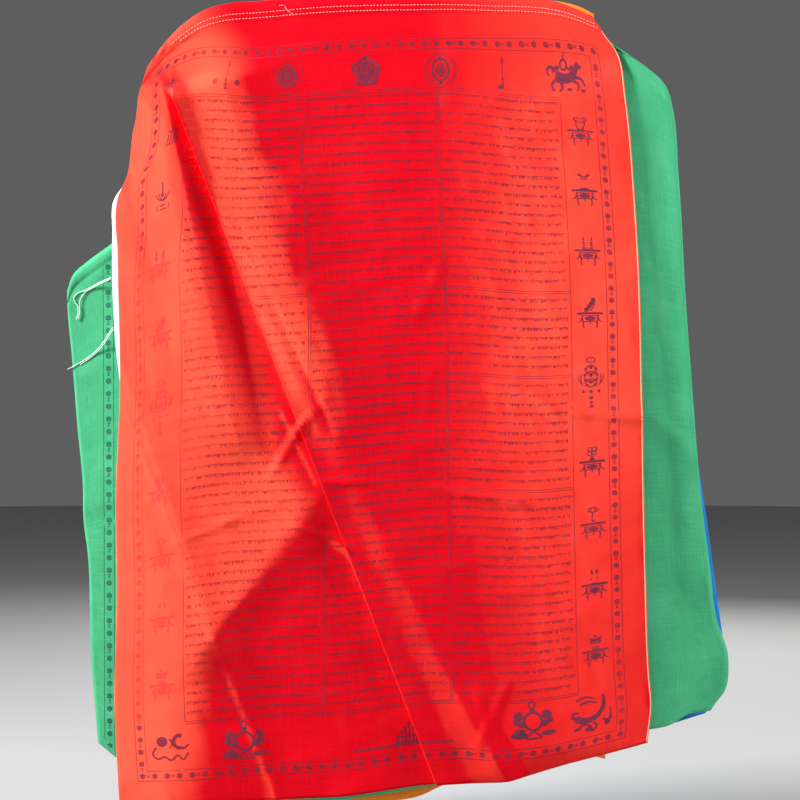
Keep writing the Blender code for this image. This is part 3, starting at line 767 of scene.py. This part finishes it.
class Ink:
    """Collects flat four-cornered marks, in metres right of and below the printed side's top left corner."""

    def __init__(self):
        self.corners = []
        self.x = self.y = 0.0
        self.size = 1.0

    def at(self, x, y, size=1.0):
        """Later marks are in millimetres, right and up from this place."""
        self.x, self.y, self.size = x, y, size
        return self

    def all_corners(self):
        return np.concatenate([corners.reshape(-1, 4, 2) for corners in self.corners])

    def put(self, corners):
        corners = np.asarray(corners, float) * 0.001 * self.size
        self.corners.append(np.stack([self.x + corners[..., 0], self.y - corners[..., 1]], axis=-1))

    def segments(self, starts, ends_at, start_width, end_width):
        """Straight strokes, each between two points with a width at each."""
        starts, ends_at = np.asarray(starts, float), np.asarray(ends_at, float)
        run = ends_at - starts
        run = run / np.maximum(np.linalg.norm(run, axis=-1, keepdims=True), 1e-9)
        side = np.stack([-run[..., 1], run[..., 0]], axis=-1) / 2
        first, last = side * np.reshape(start_width, (-1, 1)), side * np.reshape(end_width, (-1, 1))
        self.put(np.stack([starts - first, ends_at - last, ends_at + last, starts + first], axis=-2))

    def line(self, points, width, taper=1.0):
        """A smooth stroke through points, narrowing to a share of its width."""
        reach = np.linalg.norm(np.diff(np.array(points, float), axis=0), axis=1).sum()
        steps = max(1 if len(points) < 3 else 4 * len(points) - 4, math.ceil(reach / 5))
        path = curve_through(points, np.linspace(0.0, 1.0, steps + 1))
        widths = width * np.linspace(1.0, taper, len(path))
        self.segments(path[:-1], path[1:], widths[:-1], widths[1:])

    def pair(self, points, width, taper=1.0):
        for side in (1.0, -1.0):
            self.line([(side * x, y) for x, y in points], width, taper)

    def ring(self, x, y, wide, high, width, start=0.0, turn=360.0, steps=16):
        angles = np.radians(np.linspace(start, start + turn, steps + 1))
        path = np.stack([x + wide * np.cos(angles), y + high * np.sin(angles)], axis=-1)
        self.segments(path[:-1], path[1:], np.full(steps, width), np.full(steps, width))

    def disc(self, x, y, wide, high, steps=8):
        angles = np.radians(np.linspace(0.0, 360.0, steps + 1))
        path = np.stack([x + wide * np.cos(angles), y + high * np.sin(angles)], axis=-1)
        middle = np.tile([[x, y]], (steps // 2, 1))
        self.put(np.stack([middle, path[0:-2:2], path[1:-1:2], path[2::2]], axis=1))

    def discs(self, x, y, wide, high):
        for side in (1.0, -1.0):
            self.disc(side * x, y, wide, high)

    def bar(self, x, y, wide, high):
        self.line([(x - wide / 2, y), (x + wide / 2, y)], high)


def rule(ink, start, end, width=0.6, step=0.010):
    """A ruled line across the flat flag, in short lengths so that it follows the folds."""
    start, end = np.array(start), np.array(end)
    count = max(1, round(np.linalg.norm(end - start) / step))
    path = start + (end - start) * np.linspace(0.0, 1.0, count + 1)[:, None]
    path = path * (1000.0, -1000.0)
    ink.at(0.0, 0.0).segments(path[:-1], path[1:], np.full(count, width), np.full(count, width))


def rosette(ink, x, y):
    """A round flower of six petals and a heart."""
    ink.at(x, y, size=0.88).disc(0.0, 0.0, 1.3, 1.3, steps=6)
    for angle in np.radians(np.arange(30.0, 390.0, 60.0)):
        ink.disc(2.9 * math.cos(angle), 2.9 * math.sin(angle), 1.45, 1.45, steps=6)


def border(ink):
    """Rosettes all round between two rules, with two small facing arrow heads in every other gap."""
    for offset in (-BORDER_HALF, BORDER_HALF):
        left, right = BORDER_LEFT + offset, BORDER_RIGHT - offset
        top, foot = BORDER_TOP + offset, BORDER_FOOT - offset
        rule(ink, (left, top), (right, top))
        rule(ink, (left, foot), (right, foot))
        rule(ink, (left, top), (left, foot))
        rule(ink, (right, top), (right, foot))
    count = round((BORDER_RIGHT - BORDER_LEFT) / ROSETTE_PITCH)
    for y in (BORDER_TOP, BORDER_FOOT):
        for k, x in enumerate(np.linspace(BORDER_LEFT, BORDER_RIGHT, count + 1)):
            rosette(ink, x, y)
            if k % 2 == 0 and k < count:
                ink.line([(5.2, 1.7), (7.2, 0.0), (5.2, -1.7)], 1.0)
                ink.line([(10.6, 1.7), (8.6, 0.0), (10.6, -1.7)], 1.0)
    count = round((BORDER_FOOT - BORDER_TOP) / ROSETTE_PITCH)
    for x in (BORDER_LEFT, BORDER_RIGHT):
        for k, y in enumerate(np.linspace(BORDER_TOP, BORDER_FOOT, count + 1)[1:-1]):
            rosette(ink, x, y)
            if k % 2 == 0:
                ink.line([(1.7, -5.2), (0.0, -7.2), (-1.7, -5.2)], 1.0)
                ink.line([(1.7, -10.6), (0.0, -8.6), (-1.7, -10.6)], 1.0)


def text_rows(ink, chance):
    """Rows of short random strokes under broken head lines, in three columns."""
    stops = (TEXT_LEFT, *COLUMN_RULES, TEXT_RIGHT)
    columns = list(zip(stops, stops[1:]))
    for row in range(round((TEXT_FOOT - TEXT_TOP) / ROW_PITCH)):
        y = TEXT_TOP + (row + 0.32) * ROW_PITCH
        for left, right in columns:
            if any(first <= left and y - 0.005 < down < y + 0.0065 for down, first in CROSS_RULES):
                continue
            room = (right - left) * 1000 - 3.0
            widths = chance.uniform(2.6, 5.0, int(room / 2.6))
            x = np.cumsum(widths) + 3.0
            x, wide = x[x < room], widths[: (x < room).sum()]
            count = len(x)
            lift = chance.normal(0.0, 0.15, count)
            ink.at(left, y)

            def strokes(picked, start, end, thick, thin):
                n = picked.sum()
                ink.segments(start[picked], end[picked], np.full(n, thick), np.full(n, thin))

            head = np.stack([x - wide * 0.92, lift], axis=1)
            across_top = head + np.stack([wide * 0.84, lift * 0.5], axis=1)
            strokes(chance.random(count) > 0.16, head, across_top, 0.6, 0.45)
            for share, least, most in ((0.20, 1.6, 3.8), (0.52, 2.2, 5.0), (0.84, 1.6, 4.0)):
                top = np.stack([x - wide * share, lift], axis=1)
                fall = -chance.uniform(least, most, count)
                low = top + np.stack([chance.normal(0.0, 0.5, count), fall], axis=1)
                drop = chance.random(count) > 0.36
                strokes(drop, top, low, 0.65, 0.45)
                kick = [chance.normal(0.0, 1.3, count), chance.uniform(-0.6, 0.9, count)]
                tip = low + np.stack(kick, axis=1)
                strokes(drop & (chance.random(count) > 0.62), low, tip, 0.7, 0.5)
            over = np.stack([x - wide * 0.5, lift + chance.uniform(1.1, 1.9, count)], axis=1)
            tip = over + np.stack([chance.uniform(0.7, 1.7, count), chance.uniform(-0.6, 0.8, count)], axis=1)
            strokes(chance.random(count) > 0.68, over, tip, 0.7, 0.5)


def frame_rules(ink):
    """The double rules round the rows and between their columns."""
    for offset in (0.0, RULE_APART):
        rule(ink, (TEXT_LEFT, TEXT_TOP - offset), (TEXT_RIGHT, TEXT_TOP - offset))
        rule(ink, (TEXT_LEFT, TEXT_FOOT + offset), (TEXT_RIGHT, TEXT_FOOT + offset))
        for x in COLUMN_RULES:
            rule(ink, (x + offset - RULE_APART / 2, TEXT_TOP), (x + offset - RULE_APART / 2, TEXT_FOOT))
        for down, first in CROSS_RULES:
            rule(ink, (first, down + offset), (TEXT_RIGHT, down + offset))
    rule(ink, (TEXT_LEFT, TEXT_TOP), (TEXT_LEFT, TEXT_FOOT))
    rule(ink, (TEXT_RIGHT, TEXT_TOP), (TEXT_RIGHT, TEXT_FOOT))


def table(ink):
    """A low table: a thick top, a panel with a dark lozenge, small scrolled brackets and short legs."""
    ink.bar(0, 0, 33, 2.6)
    ink.bar(0, -3.2, 23, 1.0)
    ink.bar(0, -10.4, 19, 1.2)
    ink.disc(0, -6.8, 7.4, 2.8)
    ink.pair([(10.4, -2.6), (9.4, -10.4)], 1.8)
    ink.pair([(10.6, -6.4), (13.2, -10.4), (16.4, -11.0)], 1.5, taper=0.6)
    ink.pair([(8.4, -10.6), (9.0, -15.0), (8.0, -19.5)], 1.7, taper=0.7)
    ink.line([(0, -11.0), (0, -14.5)], 1.1)


def vase(ink):
    ink.bar(0, 1.9, 9, 1.8)
    ink.pair([(2.4, 2.5), (5.0, 6.5), (5.6, 11.0), (4.6, 14.5)], 1.5)
    ink.pair([(1.0, 15.6), (6.0, 17.2), (8.4, 15.0), (6.2, 12.6)], 1.5)
    ink.line([(-5.0, 12.0), (0, 10.6), (5.0, 12.0)], 1.1)


def two_fish(ink):
    for side in (1.0, -1.0):
        ink.line([(-6.5 * side, 21.5), (-1.5 * side, 17.5), (5.0 * side, 18.5)], 2.6, taper=0.4)
        ink.line([(5.0 * side, 18.5), (8.0 * side, 21.0)], 1.1)
    ink.line([(-4.5, 15.6), (0, 14.6), (4.5, 15.6)], 1.2)
    ink.disc(0, 1.6, 6.0, 2.2)


def two_lamps(ink):
    for y, size in ((3.0, 2.4), (6.6, 1.7), (9.8, 2.1), (13.4, 1.5)):
        ink.discs(5.0, y, size, 1.3)
    ink.pair([(5.0, 14.5), (5.8, 17.5), (4.2, 19.0)], 1.1, taper=0.4)
    ink.bar(0, 1.6, 8, 1.0)


def shell(ink):
    for x, y in ((4.4, 17.4), (2.2, 13.2), (-0.6, 9.4), (-3.4, 5.6)):
        ink.disc(x, y, 3.0, 2.7)
    ink.line([(6.6, 17.5), (5.4, 11.0), (1.0, 3.0)], 1.2)
    ink.line([(-6.4, 7.0), (-6.6, 3.4), (-3.4, 1.8)], 1.2)


def jewel_tree(ink):
    ink.pair([(0, 26.0), (4.6, 24.0), (5.4, 20.6), (0, 19.0)], 1.2)
    ink.disc(0, 13.0, 2.2, 3.0)
    for y, wide, high in ((9.5, 7.0, 5.6), (0.5, 8.6, 6.6), (-7.5, 7.0, 5.2)):
        ink.ring(0, y, wide, high, 1.5)
    for x, y in ((6.4, 10.5), (7.6, 3.0), (7.0, -4.0), (5.2, -10.4)):
        ink.discs(x, y, 2.1, 1.9)
    ink.disc(0, 2.6, 2.4, 2.8)
    ink.disc(0, -6.5, 2.8, 2.4)
    ink.pair([(10.0, -11.0), (13.0, -3.0), (12.0, 5.0)], 1.1)
    ink.pair([(11.6, -9.0), (15.4, -3.0), (16.2, 3.6)], 1.0)
    ink.discs(10.0, -18.5, 1.9, 2.4)
    for y, wide in ((-19.0, 2.8), (-27.0, 3.2), (-33.0, 2.0), (-38.0, 2.8)):
        ink.disc(0, y, wide, 2.2)


def endless_knot(ink):
    for x, y in ((-2.4, 15.5), (3.0, 16.0), (-3.0, 10.5), (2.6, 10.8)):
        ink.ring(x, y, 2.7, 3.0, 1.2, steps=10)
    ink.line([(4.6, 19.0), (6.4, 16.0), (4.8, 12.8)], 2.2, taper=0.5)
    ink.disc(0, 3.0, 3.4, 2.2)
    ink.bar(0, 6.2, 5.0, 1.1)


def lotus(ink):
    ink.ring(0, 18.0, 6.8, 2.9, 1.3)
    ink.pair([(0, 14.6), (3.0, 17.0), (2.0, 21.0)], 1.2)
    ink.line([(0, 15.0), (-1.2, 8.0), (0, 1.5)], 1.3)
    ink.pair([(0, 2.4), (2.6, 5.6)], 1.0)


def two_pillars(ink):
    ink.pair([(3.2, 19.0), (3.2, 13.4)], 2.4)
    ink.pair([(3.2, 9.5), (5.0, 5.5)], 1.0)
    ink.bar(0, 1.8, 9, 0.9)


def crowned_urn(ink):
    ink.disc(0, 18.6, 1.7, 1.7)
    ink.pair([(0, 14.8), (4.5, 15.2), (8.2, 17.2)], 1.7)
    ink.bar(0, 13.0, 14, 2.2)
    ink.bar(0, 9.8, 12, 1.6)
    ink.pair([(6.2, 13.0), (5.4, 8.6)], 1.3)
    ink.bar(0, 5.2, 9, 1.3)
    ink.bar(0, 2.6, 9, 1.3)


def shrine(ink):
    ink.disc(0, 11.0, 1.6, 2.6)
    ink.pair([(0, 9.6), (4.0, 7.6), (8.4, 8.4)], 1.4)
    for x in (-7.0, -2.6, 2.2, 6.6):
        ink.line([(x, 5.6), (x, -8.0)], 1.3)
    ink.disc(4.6, -2.0, 3.6, 3.2)
    ink.bar(0, -9.6, 18, 1.4)


def flame_lotus(ink):
    ink.line([(0, 18.0), (0.6, 11.0), (0, 4.0)], 2.0, taper=0.8)
    ink.disc(0, 3.0, 2.2, 3.0)
    ink.pair([(0, -3.6), (6.0, -1.0), (9.6, 5.0)], 2.0, taper=0.5)
    ink.pair([(0, -3.6), (4.0, 1.0), (5.4, 5.6)], 1.5, taper=0.5)
    ink.bar(0, -9.0, 8, 1.6)
    ink.bar(0, -13.5, 9, 1.4)
    ink.pair([(7.5, -8.0), (9.0, -11.0), (7.0, -14.0)], 1.1)


def staff(ink):
    ink.line([(0, 22.0), (0, -16.0)], 1.0)
    ink.disc(0, 16.0, 1.8, 3.4)
    for y in (-4.0, -9.0, -14.0):
        ink.disc(0, y, 1.6, 1.6)


def sun_wheel(ink):
    ink.ring(0, 0, 12.4, 13.6, 3.0)
    ink.ring(0, 0, 8.0, 9.0, 1.2)
    ink.disc(0, 0, 4.6, 5.4)
    for angle in range(0, 360, 45):
        turn = math.radians(angle)
        ink.disc(6.6 * math.cos(turn), 7.2 * math.sin(turn), 1.3, 1.3, steps=6)
    for start in range(0, 360, 30):
        ink.ring(0, 0, 20.5, 20.5, 0.9, start=start, turn=21, steps=4)


def moon_oval(ink):
    ink.ring(0, 0, 10.8, 13.8, 2.8)
    ink.ring(0, -1.5, 5.6, 7.2, 1.4)
    ink.disc(0, -1.5, 2.4, 3.6)
    ink.disc(0, 13.5, 2.6, 3.4)
    ink.disc(0, -15.0, 2.0, 3.0)
    ink.ring(0, 0, 17.5, 18.5, 0.8)
    ink.ring(0, 0, 20.5, 21.0, 0.8)


def jewel_shield(ink):
    for size, width in ((19.0, 3.2), (14.2, 1.4), (9.6, 1.4), (5.2, 2.4)):
        ink.ring(0, 0, size, size, width, start=90.0, steps=5)
    for angle in range(90, 450, 72):
        turn = math.radians(angle)
        way = np.array((math.cos(turn), math.sin(turn)))
        ink.line([6.0 * way, 19.0 * way], 1.4)
        ink.disc(12.0 * math.cos(turn + 0.63), 12.0 * math.sin(turn + 0.63), 2.4, 2.4)


def flaming_jewel(ink):
    ink.ring(0, 0, 8.6, 8.6, 2.4)
    ink.ring(0, 15.6, 3.0, 3.4, 1.6)
    ink.disc(0, 10.8, 2.6, 1.8)
    for x, y, wide, high in ((13.6, 5.5, 4.8, 4.6), (11.4, -2.4, 3.8, 3.4), (16.4, 0.0, 3.0, 3.2)):
        ink.discs(x, y, wide, high)
    for x, y, wide, high in ((-14.0, -13.0, 8.6, 3.4), (-13.0, -9.0, 5.4, 2.4), (14.6, -12.4, 8.0, 2.6)):
        ink.disc(x, y, wide, high)
    ink.pair([(0, -9.0), (4.6, -13.0), (8.4, -16.4)], 1.6)
    ink.bar(0, -16.6, 14, 1.6)


def wind_horse(ink):
    ink.line([(-14, 3), (-3, 0.5), (10, 4)], 12.0, taper=0.8)
    ink.line([(8, 5), (12.5, 10), (15, 15)], 8.0, taper=0.7)
    ink.line([(13, 15.5), (20.5, 12.5)], 6.0, taper=0.55)
    ink.line([(-15, 7), (-20, 12), (-25, 8), (-22, 3)], 4.4, taper=0.4)
    for points in (
        [(-13, 0), (-20, -7), (-15, -14)], [(-8, -2), (-6, -10), (-11, -16)],
        [(8, 0), (16, -5), (13, -13)], [(11, 3), (20, 2), (24, -6)],
    ):
        ink.line(points, 4.2, taper=0.5)
    ink.line([(9, 14), (4, 10), (1, 13)], 3.4, taper=0.4)
    ink.ring(-3, 14, 4.4, 4.6, 2.4)
    for x, y in ((-12, 11), (-18, -13), (3, -12), (21, -12)):
        ink.disc(x, y, 3.6, 2.4)
    ink.line([(-3, 20), (-1, 25)], 2.4, taper=0.4)


def bird(ink):
    ink.disc(0, 8.0, 2.6, 2.6)
    ink.line([(0, 6.5), (0.6, -1.0), (0, -9.0)], 4.0, taper=0.4)
    ink.pair([(1.0, 3.0), (6.0, 6.4), (10.5, 3.4)], 2.6, taper=0.4)
    ink.pair([(1.0, 0.0), (5.4, 2.0), (8.0, -1.6)], 1.8, taper=0.4)
    ink.pair([(0.6, -7.0), (4.4, -11.0)], 1.3)


def dragon(ink):
    ink.line([(-20, -4), (-8, -8.5), (8, -3.5), (16, 9), (16, 21)], 9.0, taper=0.35)
    ink.line([(-19, -4), (-25, 0), (-22, 4.5), (-16, 3)], 4.4, taper=0.5)
    for points in (
        [(-18, 19), (-7, 22), (5, 18)], [(-14, 13), (-4, 15.5), (7, 12)], [(-22, -19), (-10, -13), (0, -17)],
        [(2, -12), (7, -18), (0, -24)], [(18, -19), (23, -10), (24, 3)], [(14, -10), (20, -13), (26, -10)],
    ):
        ink.line(points, 3.2, taper=0.5)
    for x, y, wide, high in ((-3, -20, 5.0, 3.4), (20, -15, 3.8, 3.6), (-16, -17, 3.0, 2.2)):
        ink.disc(x, y, wide, high)


def tiger(ink):
    ink.disc(-11, 8, 7.4, 6.8)
    ink.ring(11, 7, 7.0, 7.8, 4.6, start=60.0, turn=220.0)
    ink.line([(10, 0), (17, -1.5), (23, 3)], 3.6, taper=0.5)
    ink.line([(-19, 1), (-24, -8), (-18, -14), (-9, -11)], 2.4)
    ink.line([(-9, -11), (0, -16), (8, -10), (15, -16), (22, -7)], 2.6, taper=0.6)
    ink.line([(-1, 11), (2, 4), (-2, -1)], 2.6, taper=0.5)


def lotus_bank(ink):
    """A low bank of scallops with a small spired shrine and flames in its middle."""
    for k in range(-8, 9):
        ink.ring(k * 8.0, -14.0 - 0.4 * (k % 2), 3.6, 3.4, 1.3, start=10.0, turn=160.0, steps=6)
        ink.disc(k * 8.0, -13.0, 1.3, 1.3)
    for k, high in ((-3, 4.0), (-2, 9.0), (-1, 13.0), (0, 18.0), (1, 13.0), (2, 9.0), (3, 4.0)):
        ink.line([(k * 4.6, -11.0), (k * 4.6, high - 6.0)], 2.2, taper=0.6)
        ink.disc(k * 4.6, high - 5.0, 1.7, 2.2)
    ink.bar(0, -9.0, 34, 1.4)
    ink.bar(0, -2.0, 24, 1.2)


def hatch(ink, wide, high):
    """Fine upright strokes that fill an oval."""
    for x in np.arange(-wide, wide, 1.7):
        reach = high * math.sqrt(max(0.0, 1 - (x / wide) ** 2))
        ink.line([(x, -reach), (x + 0.8, reach)], 0.6)


def signs(ink):
    """Outside the rows: tables down both sides, round signs along the top, animals at the corners."""
    for x in (LEFT_SIGNS, RIGHT_SIGNS):
        for y, sign in (
            (0.168, vase), (0.246, two_fish), (0.324, two_lamps), (0.406, shell), (0.599, endless_knot),
            (0.680, lotus), (0.759, two_pillars), (0.845, crowned_urn),
        ):
            if x == LEFT_SIGNS and y < 0.3:
                continue
            table(ink.at(x, y))
            sign(ink)
        jewel_tree(ink.at(x, 0.489))
    shrine(ink.at(LEFT_SIGNS, 0.168))
    flame_lotus(ink.at(LEFT_SIGNS, 0.245))
    top_row = ((0.155, staff), (0.238, sun_wheel), (0.340, jewel_shield), (0.437, moon_oval), (0.5175, staff))
    for x, sign in top_row:
        sign(ink.at(x, TOP_SIGNS))
    for x, wide, high in ((0.238, 10.5, 10.5), (0.340, 13.0, 12.0), (0.437, 6.0, 8.5)):
        hatch(ink.at(x, TOP_SIGNS), wide, high)
    ink.at(0.5175, TOP_SIGNS).disc(-3.0, -14.0, 4.0, 3.2)
    ink.at(0.155, TOP_SIGNS).discs(16.0, -6.0, 3.4, 3.8)
    wind_horse(ink.at(0.6000, 0.1020))
    bird(ink.at(LEFT_SIGNS, 0.1040))
    dragon(ink.at(0.6030, 0.9240))
    tiger(ink.at(0.0720, 0.9250))
    flaming_jewel(ink.at(0.1640, 0.9240, size=1.3))
    flaming_jewel(ink.at(0.5290, 0.9210, size=1.3))
    lotus_bank(ink.at(0.3640, 0.9330))


def settle(corners):
    """The block sat a little askew: its left top stands high and its right side low on the cloth."""
    x, y = corners[..., 0], corners[..., 1]
    low = 0.016 * smooth_step((x - 0.43) / 0.16) * smooth_step((y - 0.06) / 0.05)
    high = 0.028 * smooth_step((0.20 - x) / 0.20) * smooth_step((0.75 - y) / 0.65)
    right = 0.014 * smooth_step((0.25 - x) / 0.2) * smooth_step((0.36 - y) / 0.14)
    return np.stack([x + right, y + low - high], axis=-1)


# How far across the print is painted paler, at how far down, since the cloth left of this is painted lit; and
# where
# the lap crosses the print: how far across at the top, and how much further for each metre down.
PAINTED_LIT_PRINT_EDGE = [
    (0.12, 0.17), (0.23, 0.20), (0.33, 0.235), (0.43, 0.275), (0.53, 0.30), (0.58, 0.24), (0.64, 0.25),
    (0.71, 0.21), (0.81, 0.135), (0.90, 0.125),
]
LAP_ACROSS, LAP_SLANT = 0.030, 0.39


def wear(x, y):
    """How pale the print is, from 0 to 1: in soft patches of wear, palest near the left edge, paler in the
    text to the right and at the right border, and painted paler where the red cloth is painted lit, less so
    in the painted shade beside the lap.
    """
    patches = np.sin(23.0 * x + 3.0 * np.sin(9.0 * y)) * np.sin(17.0 * y + 2.0 * np.sin(13.0 * x))
    upper_signs = smooth_step((0.088 - x) / 0.004) * smooth_step((0.30 - y) / 0.03)
    lit_print_edge = np.interp(y, *np.array(PAINTED_LIT_PRINT_EDGE).T)
    paled_by_light = smooth_step(0.5 + (lit_print_edge - x) / 0.08) * smooth_step((0.90 - y) / 0.06)
    paled_by_light = paled_by_light * (1 - 0.7 * upper_signs)
    past_lap = x - (LAP_ACROSS + LAP_SLANT * y)
    by_lap = smooth_step((past_lap + 0.065) / 0.025) * smooth_step((0.010 - past_lap) / 0.010)
    paled_by_light = paled_by_light * (1 - 0.75 * by_lap * smooth_step((0.60 - y) / 0.05))
    edge = smooth_step((0.046 - x) / 0.006) * smooth_step((y - 0.10) / 0.03)
    lower_signs = smooth_step((0.088 - x) / 0.006) * smooth_step((y - 0.29) / 0.03)
    palest_left = np.maximum(edge, lower_signs) * smooth_step((0.905 - y) / 0.02)
    paler_text = 0.5 + 0.7 * smooth_step((x - 0.42) / 0.08) * (1 - 0.5 * smooth_step((y - 0.55) / 0.2))
    paler_text = paler_text * (x > TEXT_LEFT) * (x < 0.591) * (y > TEXT_TOP) * (y < TEXT_FOOT)
    right_side = 0.12 * (x > 0.632) - 0.12 * ((x > 0.591) & (x < 0.632))
    return 0.36 + 0.18 * patches + 0.54 * paled_by_light + 0.50 * palest_left + 0.20 * paler_text + right_side


def ink_tones(name, *colours):
    """Materials from the darkest ink to the palest."""
    tones = []
    for k, colour in enumerate(colours):
        paint = Paint(name + "_" + str(k), roughness=0.85)
        paint.shader.inputs["Base Color"].default_value = (*colour, 1.0)
        tones.append(paint.material)
    return tones


def film(name, flag, corners, tones, places):
    """One thin mesh of all the marks whose corners have these places: across, depth and down."""
    across, depth, down = places
    depth = depth - flag.printed_side * (CLOTH / 2 + INK_CLEAR)
    points = np.stack([across, depth, -down], axis=-1).reshape(-1, 3)
    mesh = bpy.data.meshes.new(name)
    mesh.from_pydata(points.tolist(), [], np.arange(len(points)).reshape(-1, 4).tolist())
    for tone in tones:
        mesh.materials.append(tone)
    middle = corners.mean(axis=1)
    grain = 0.05 * np.sin(9000.0 * middle[:, 0]) * np.sin(7000.0 * middle[:, 1])
    # The tone follows wear, and painted light too: marks are paler where the red cloth is painted lit.
    ink_fade = (wear(middle[:, 0], middle[:, 1]) + grain) * (len(tones) - 1)
    level = np.clip(ink_fade, 0, len(tones) - 1).astype(int)
    mesh.polygons.foreach_set("material_index", level)
    piece = bpy.data.objects.new(name, mesh)
    bpy.context.scene.collection.objects.link(piece)
    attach(piece, "root")
    return piece


def print_flag(name, flag, corners, tones):
    """The marks on the whole of a flag's printed side; those turned under at a lap are left out."""
    share_across = corners[..., 0] / FLAG_WIDTH
    u = share_across if flag.printed_side == FRONT else 1 - share_across
    v = corners[..., 1] / FLAG_HEIGHT
    shown = ((u > EDGE_SHARE) & (u < 1 - EDGE_SHARE)).all(axis=1)
    if flag.lap:
        across, down = between_edges(flag, u.mean(axis=1), v.mean(axis=1))
        along, long, side = beside(flag.lap, across, down)
        shown = shown & ((np.abs(side) > flag.lap.turn * 0.8) | (ends(along, long, LAP_FADE) < 0.3))
    return film(name, flag, corners[shown], tones, place_on(flag, u[shown], v[shown]))


design = Ink()
border(design)
frame_rules(design)
signs(design)
text_rows(design, np.random.default_rng(11))
design_corners = settle(design.all_corners())
red_print = print_flag(
    "print_red", flags["flag_red"], design_corners,
    ink_tones(
        "ink_on_red",
        (0.10, 0.016, 0.045), (0.15, 0.018, 0.045), (0.22, 0.018, 0.042), (0.34, 0.018, 0.036),
        (0.50, 0.018, 0.030), (0.82, 0.050, 0.042),
    ),
)
blue_print = print_flag(
    "print_blue", flags["flag_blue"], design_corners,
    ink_tones("ink_on_blue", (0.012, 0.045, 0.130), (0.012, 0.065, 0.19), (0.010, 0.090, 0.28)),
)

# The red flag's right edge is the loom's own, with pale beige threads along it.
selvedge = Ink()
rule(selvedge, (0.6784, 0.003), (0.6784, 0.997), width=1.4, step=0.005)
edge_tones = ink_tones("edge_on_red", (0.86, 0.50, 0.30))
red_edge = print_flag("edge_red", flags["flag_red"], selvedge.all_corners(), edge_tones)

# On the far green flag the border shows in the band at the left. Its folded corner hides the rest of it.
GREEN_SHIFT = -0.3995
side_ink = Ink()
border(side_ink)
side_corners = side_ink.all_corners()
far_green = flags["flag_green_far"]
mid_across = side_corners[..., 0].mean(axis=1) + GREEN_SHIFT
mid_down = side_corners[..., 1].mean(axis=1)
left_edge, top_edge, foot_edge = (np.array(edge) for edge in (far_green.left, far_green.top, far_green.foot))
on_band = (
    (mid_across < -0.330)
    & (mid_across > np.interp(mid_down, left_edge[:, 1], left_edge[:, 0]) + 0.004)
    & (mid_down > np.interp(mid_across, top_edge[:, 0], top_edge[:, 1]) + 0.006)
    & (mid_down < np.interp(mid_across, foot_edge[:, 0], foot_edge[:, 1]) - 0.006)
)
band_across = side_corners[on_band][..., 0] + GREEN_SHIFT
band_down = side_corners[on_band][..., 1]
green_print = film(
    "print_green_far", far_green, side_corners[on_band],
    ink_tones("ink_on_green", (0.012, 0.085, 0.070), (0.014, 0.13, 0.080)),
    (band_across, hang_depth(far_green, band_across, band_down), band_down),
)


# A plain pale floor under the hanging stack, and soft studio light: a large light at the front left, a weaker
# one at the right, and an even pale surround.
FLOOR_DOWN = -1.06
bm = bmesh.new()
bmesh.ops.create_circle(bm, cap_ends=True, segments=96, radius=9.0)
floor_mesh = bpy.data.meshes.new("floor")
bm.to_mesh(floor_mesh)
bm.free()
floor = bpy.data.objects.new("floor", floor_mesh)
floor.location.z = FLOOR_DOWN
floor_paint = Paint("floor", roughness=0.9)
floor_paint.shader.inputs["Base Color"].default_value = (0.42, 0.42, 0.415, 1.0)
floor_mesh.materials.append(floor_paint.material)
bpy.context.scene.collection.objects.link(floor)


def soft_light(name, place, aim, size, power):
    """A square lamp at a place, turned towards its aim."""
    lamp = bpy.data.lights.new(name, "AREA")
    lamp.size = size
    lamp.energy = power
    light = bpy.data.objects.new(name, lamp)
    light.location = place
    way = np.array(aim) - np.array(place)
    light.rotation_euler = (
        math.atan2(np.hypot(way[0], way[1]), -way[2]),
        0.0,
        math.atan2(way[1], way[0]) - math.pi / 2,
    )
    bpy.context.scene.collection.objects.link(light)


soft_light("key", (-2.2, -0.85, 0.9), (0.0, 0.0, -0.5), 0.7, 160.0)
soft_light("fill", (2.4, -0.8, 0.5), (0.0, 0.0, -0.5), 1.0, 60.0)
soft_light("side", (0.95, -0.60, 0.10), (0.34, 0.0, -0.32), 0.5, 2.6)
soft_light("back", (0.8, 2.6, 0.8), (0.0, 0.0, -0.5), 1.6, 60.0)
world = bpy.data.worlds.new("world")
world.use_nodes = True
world.node_tree.nodes["Background"].inputs["Color"].default_value = (0.86, 0.86, 0.87, 1.0)
world.node_tree.nodes["Background"].inputs["Strength"].default_value = 0.13
bpy.context.scene.world = world
